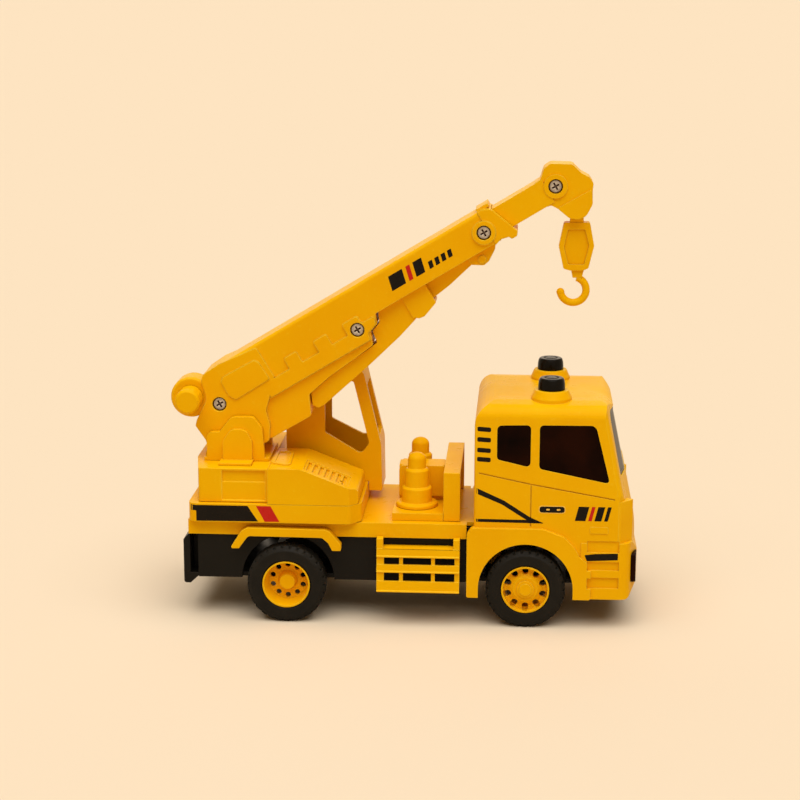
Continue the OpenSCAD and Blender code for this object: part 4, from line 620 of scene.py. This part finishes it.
# ---- Camera ----------------------------------------------------------------------------
LENS_MM, SENSOR_MM = 86.24, 36
YAW, PITCH, ROLL = math.radians(3.740), math.radians(12.573), math.radians(0.1366)
EYE_MM = (103.07, -844.66, 282.22)  # from the floor under the rear axle's middle
NEAR, FAR = 0.01, 100  # what the camera sees, in metres
eye = Vector((rear_axle.x, 0, 0)) + Vector(EYE_MM) * MM
ahead = Vector((
    -math.sin(YAW) * math.cos(PITCH), math.cos(YAW) * math.cos(PITCH), -math.sin(PITCH)
))
right = Vector((math.cos(YAW), math.sin(YAW), 0))
above = right.cross(ahead)
right, above = (
    right * math.cos(ROLL) + above * math.sin(ROLL),
    above * math.cos(ROLL) - right * math.sin(ROLL),
)
camera_data = bpy.data.cameras.new("camera")
camera_data.lens = LENS_MM
camera_data.sensor_width = SENSOR_MM
camera_data.clip_start = NEAR
camera_data.clip_end = FAR
camera = bpy.data.objects.new("camera", camera_data)
bpy.context.scene.collection.objects.link(camera)
turn = Matrix((right, above, -ahead)).transposed()
camera.matrix_world = Matrix.Translation(eye) @ turn.to_4x4()
bpy.context.scene.camera = camera

# ---- Light, floor and background -------------------------------------------------------
BACKDROP = (0.991, 0.776, 0.533)  # as the camera sees it
SKY, SKY_LEVEL = (1.0, 0.64, 0.27), 0.22  # as it lights the toy
FLOOR_BOUNCE = 0.78  # share of the backdrop's colour that the floor casts back on the toy
FLOOR_HALF = 60  # from the floor's middle to its sides, in metres
# Each lamp: name, strength, degrees across, direction that it comes from.
SUNS = (
    ("key", 2.8, 70, (0.05, -0.32, 1.0)),
    ("front", 0.15, 60, (0.25, -1.0, 0.45)),
    ("back", 0.35, 70, (-0.3, 1.0, 0.6)),
)


def seen_rays(node, link):
    """1 for what the camera sees directly, in a gloss or through a clear piece."""
    path = node("ShaderNodeLightPath")
    total = path.outputs["Is Camera Ray"]
    for name in ("Is Glossy Ray", "Is Transmission Ray"):
        both = node("ShaderNodeMath")
        both.operation = "MAXIMUM"
        link(total, both.inputs[0])
        link(path.outputs[name], both.inputs[1])
        total = both.outputs["Value"]
    return total


def sky():
    """A warm, dim sky that shows as the pale backdrop."""
    world = bpy.data.worlds.new("studio")
    bpy.context.scene.world = world
    world.use_nodes = True
    tree = world.node_tree
    tree.nodes.clear()
    output = tree.nodes.new("ShaderNodeOutputWorld")
    mix = tree.nodes.new("ShaderNodeMixShader")
    lit = tree.nodes.new("ShaderNodeBackground")
    seen = tree.nodes.new("ShaderNodeBackground")
    lit.inputs["Color"].default_value = (*SKY, 1)
    lit.inputs["Strength"].default_value = SKY_LEVEL
    seen.inputs["Color"].default_value = (*BACKDROP, 1)
    seen.inputs["Strength"].default_value = 1.0
    tree.links.new(seen_rays(tree.nodes.new, tree.links.new), mix.inputs["Fac"])
    tree.links.new(lit.outputs["Background"], mix.inputs[1])
    tree.links.new(seen.outputs["Background"], mix.inputs[2])
    tree.links.new(mix.outputs["Shader"], output.inputs["Surface"])


def lamps():
    """Large soft suns; returns the light level on the bare floor, per colour channel."""
    level = [SKY_LEVEL * c for c in SKY]
    for name, strength, angle, source in SUNS:
        data = bpy.data.lights.new(name, "SUN")
        data.energy = strength
        data.angle = math.radians(angle)
        lamp = bpy.data.objects.new(name, data)
        bpy.context.scene.collection.objects.link(lamp)
        towards = Vector(source).normalized()
        lamp.rotation_euler = towards.to_track_quat("Z", "Y").to_euler()
        level = [k + strength * towards.z / math.pi for k in level]
    return level


def floor(level):
    """A pale floor that meets the background without a line, and keeps the toy's shadow."""
    bm = bmesh.new()
    bmesh.ops.create_grid(bm, x_segments=2, y_segments=2, size=FLOOR_HALF)
    mesh = bpy.data.meshes.new("floor")
    bm.to_mesh(mesh)
    bm.free()
    made = bpy.data.objects.new("floor", mesh)
    bpy.context.scene.collection.objects.link(made)
    s = Shader("floor_paper")
    shown = tuple(b / k for b, k in zip(BACKDROP, level))
    bounced = tuple(FLOOR_BOUNCE * c for c in BACKDROP)
    s.colour(s.blend(seen_rays(s.node, s.link), bounced, shown))
    s.set(Roughness=1.0, Specular_IOR_Level=0.0)
    mesh.materials.append(s.material)


sky()
floor(lamps())
bpy.context.scene.view_settings.view_transform = "Standard"
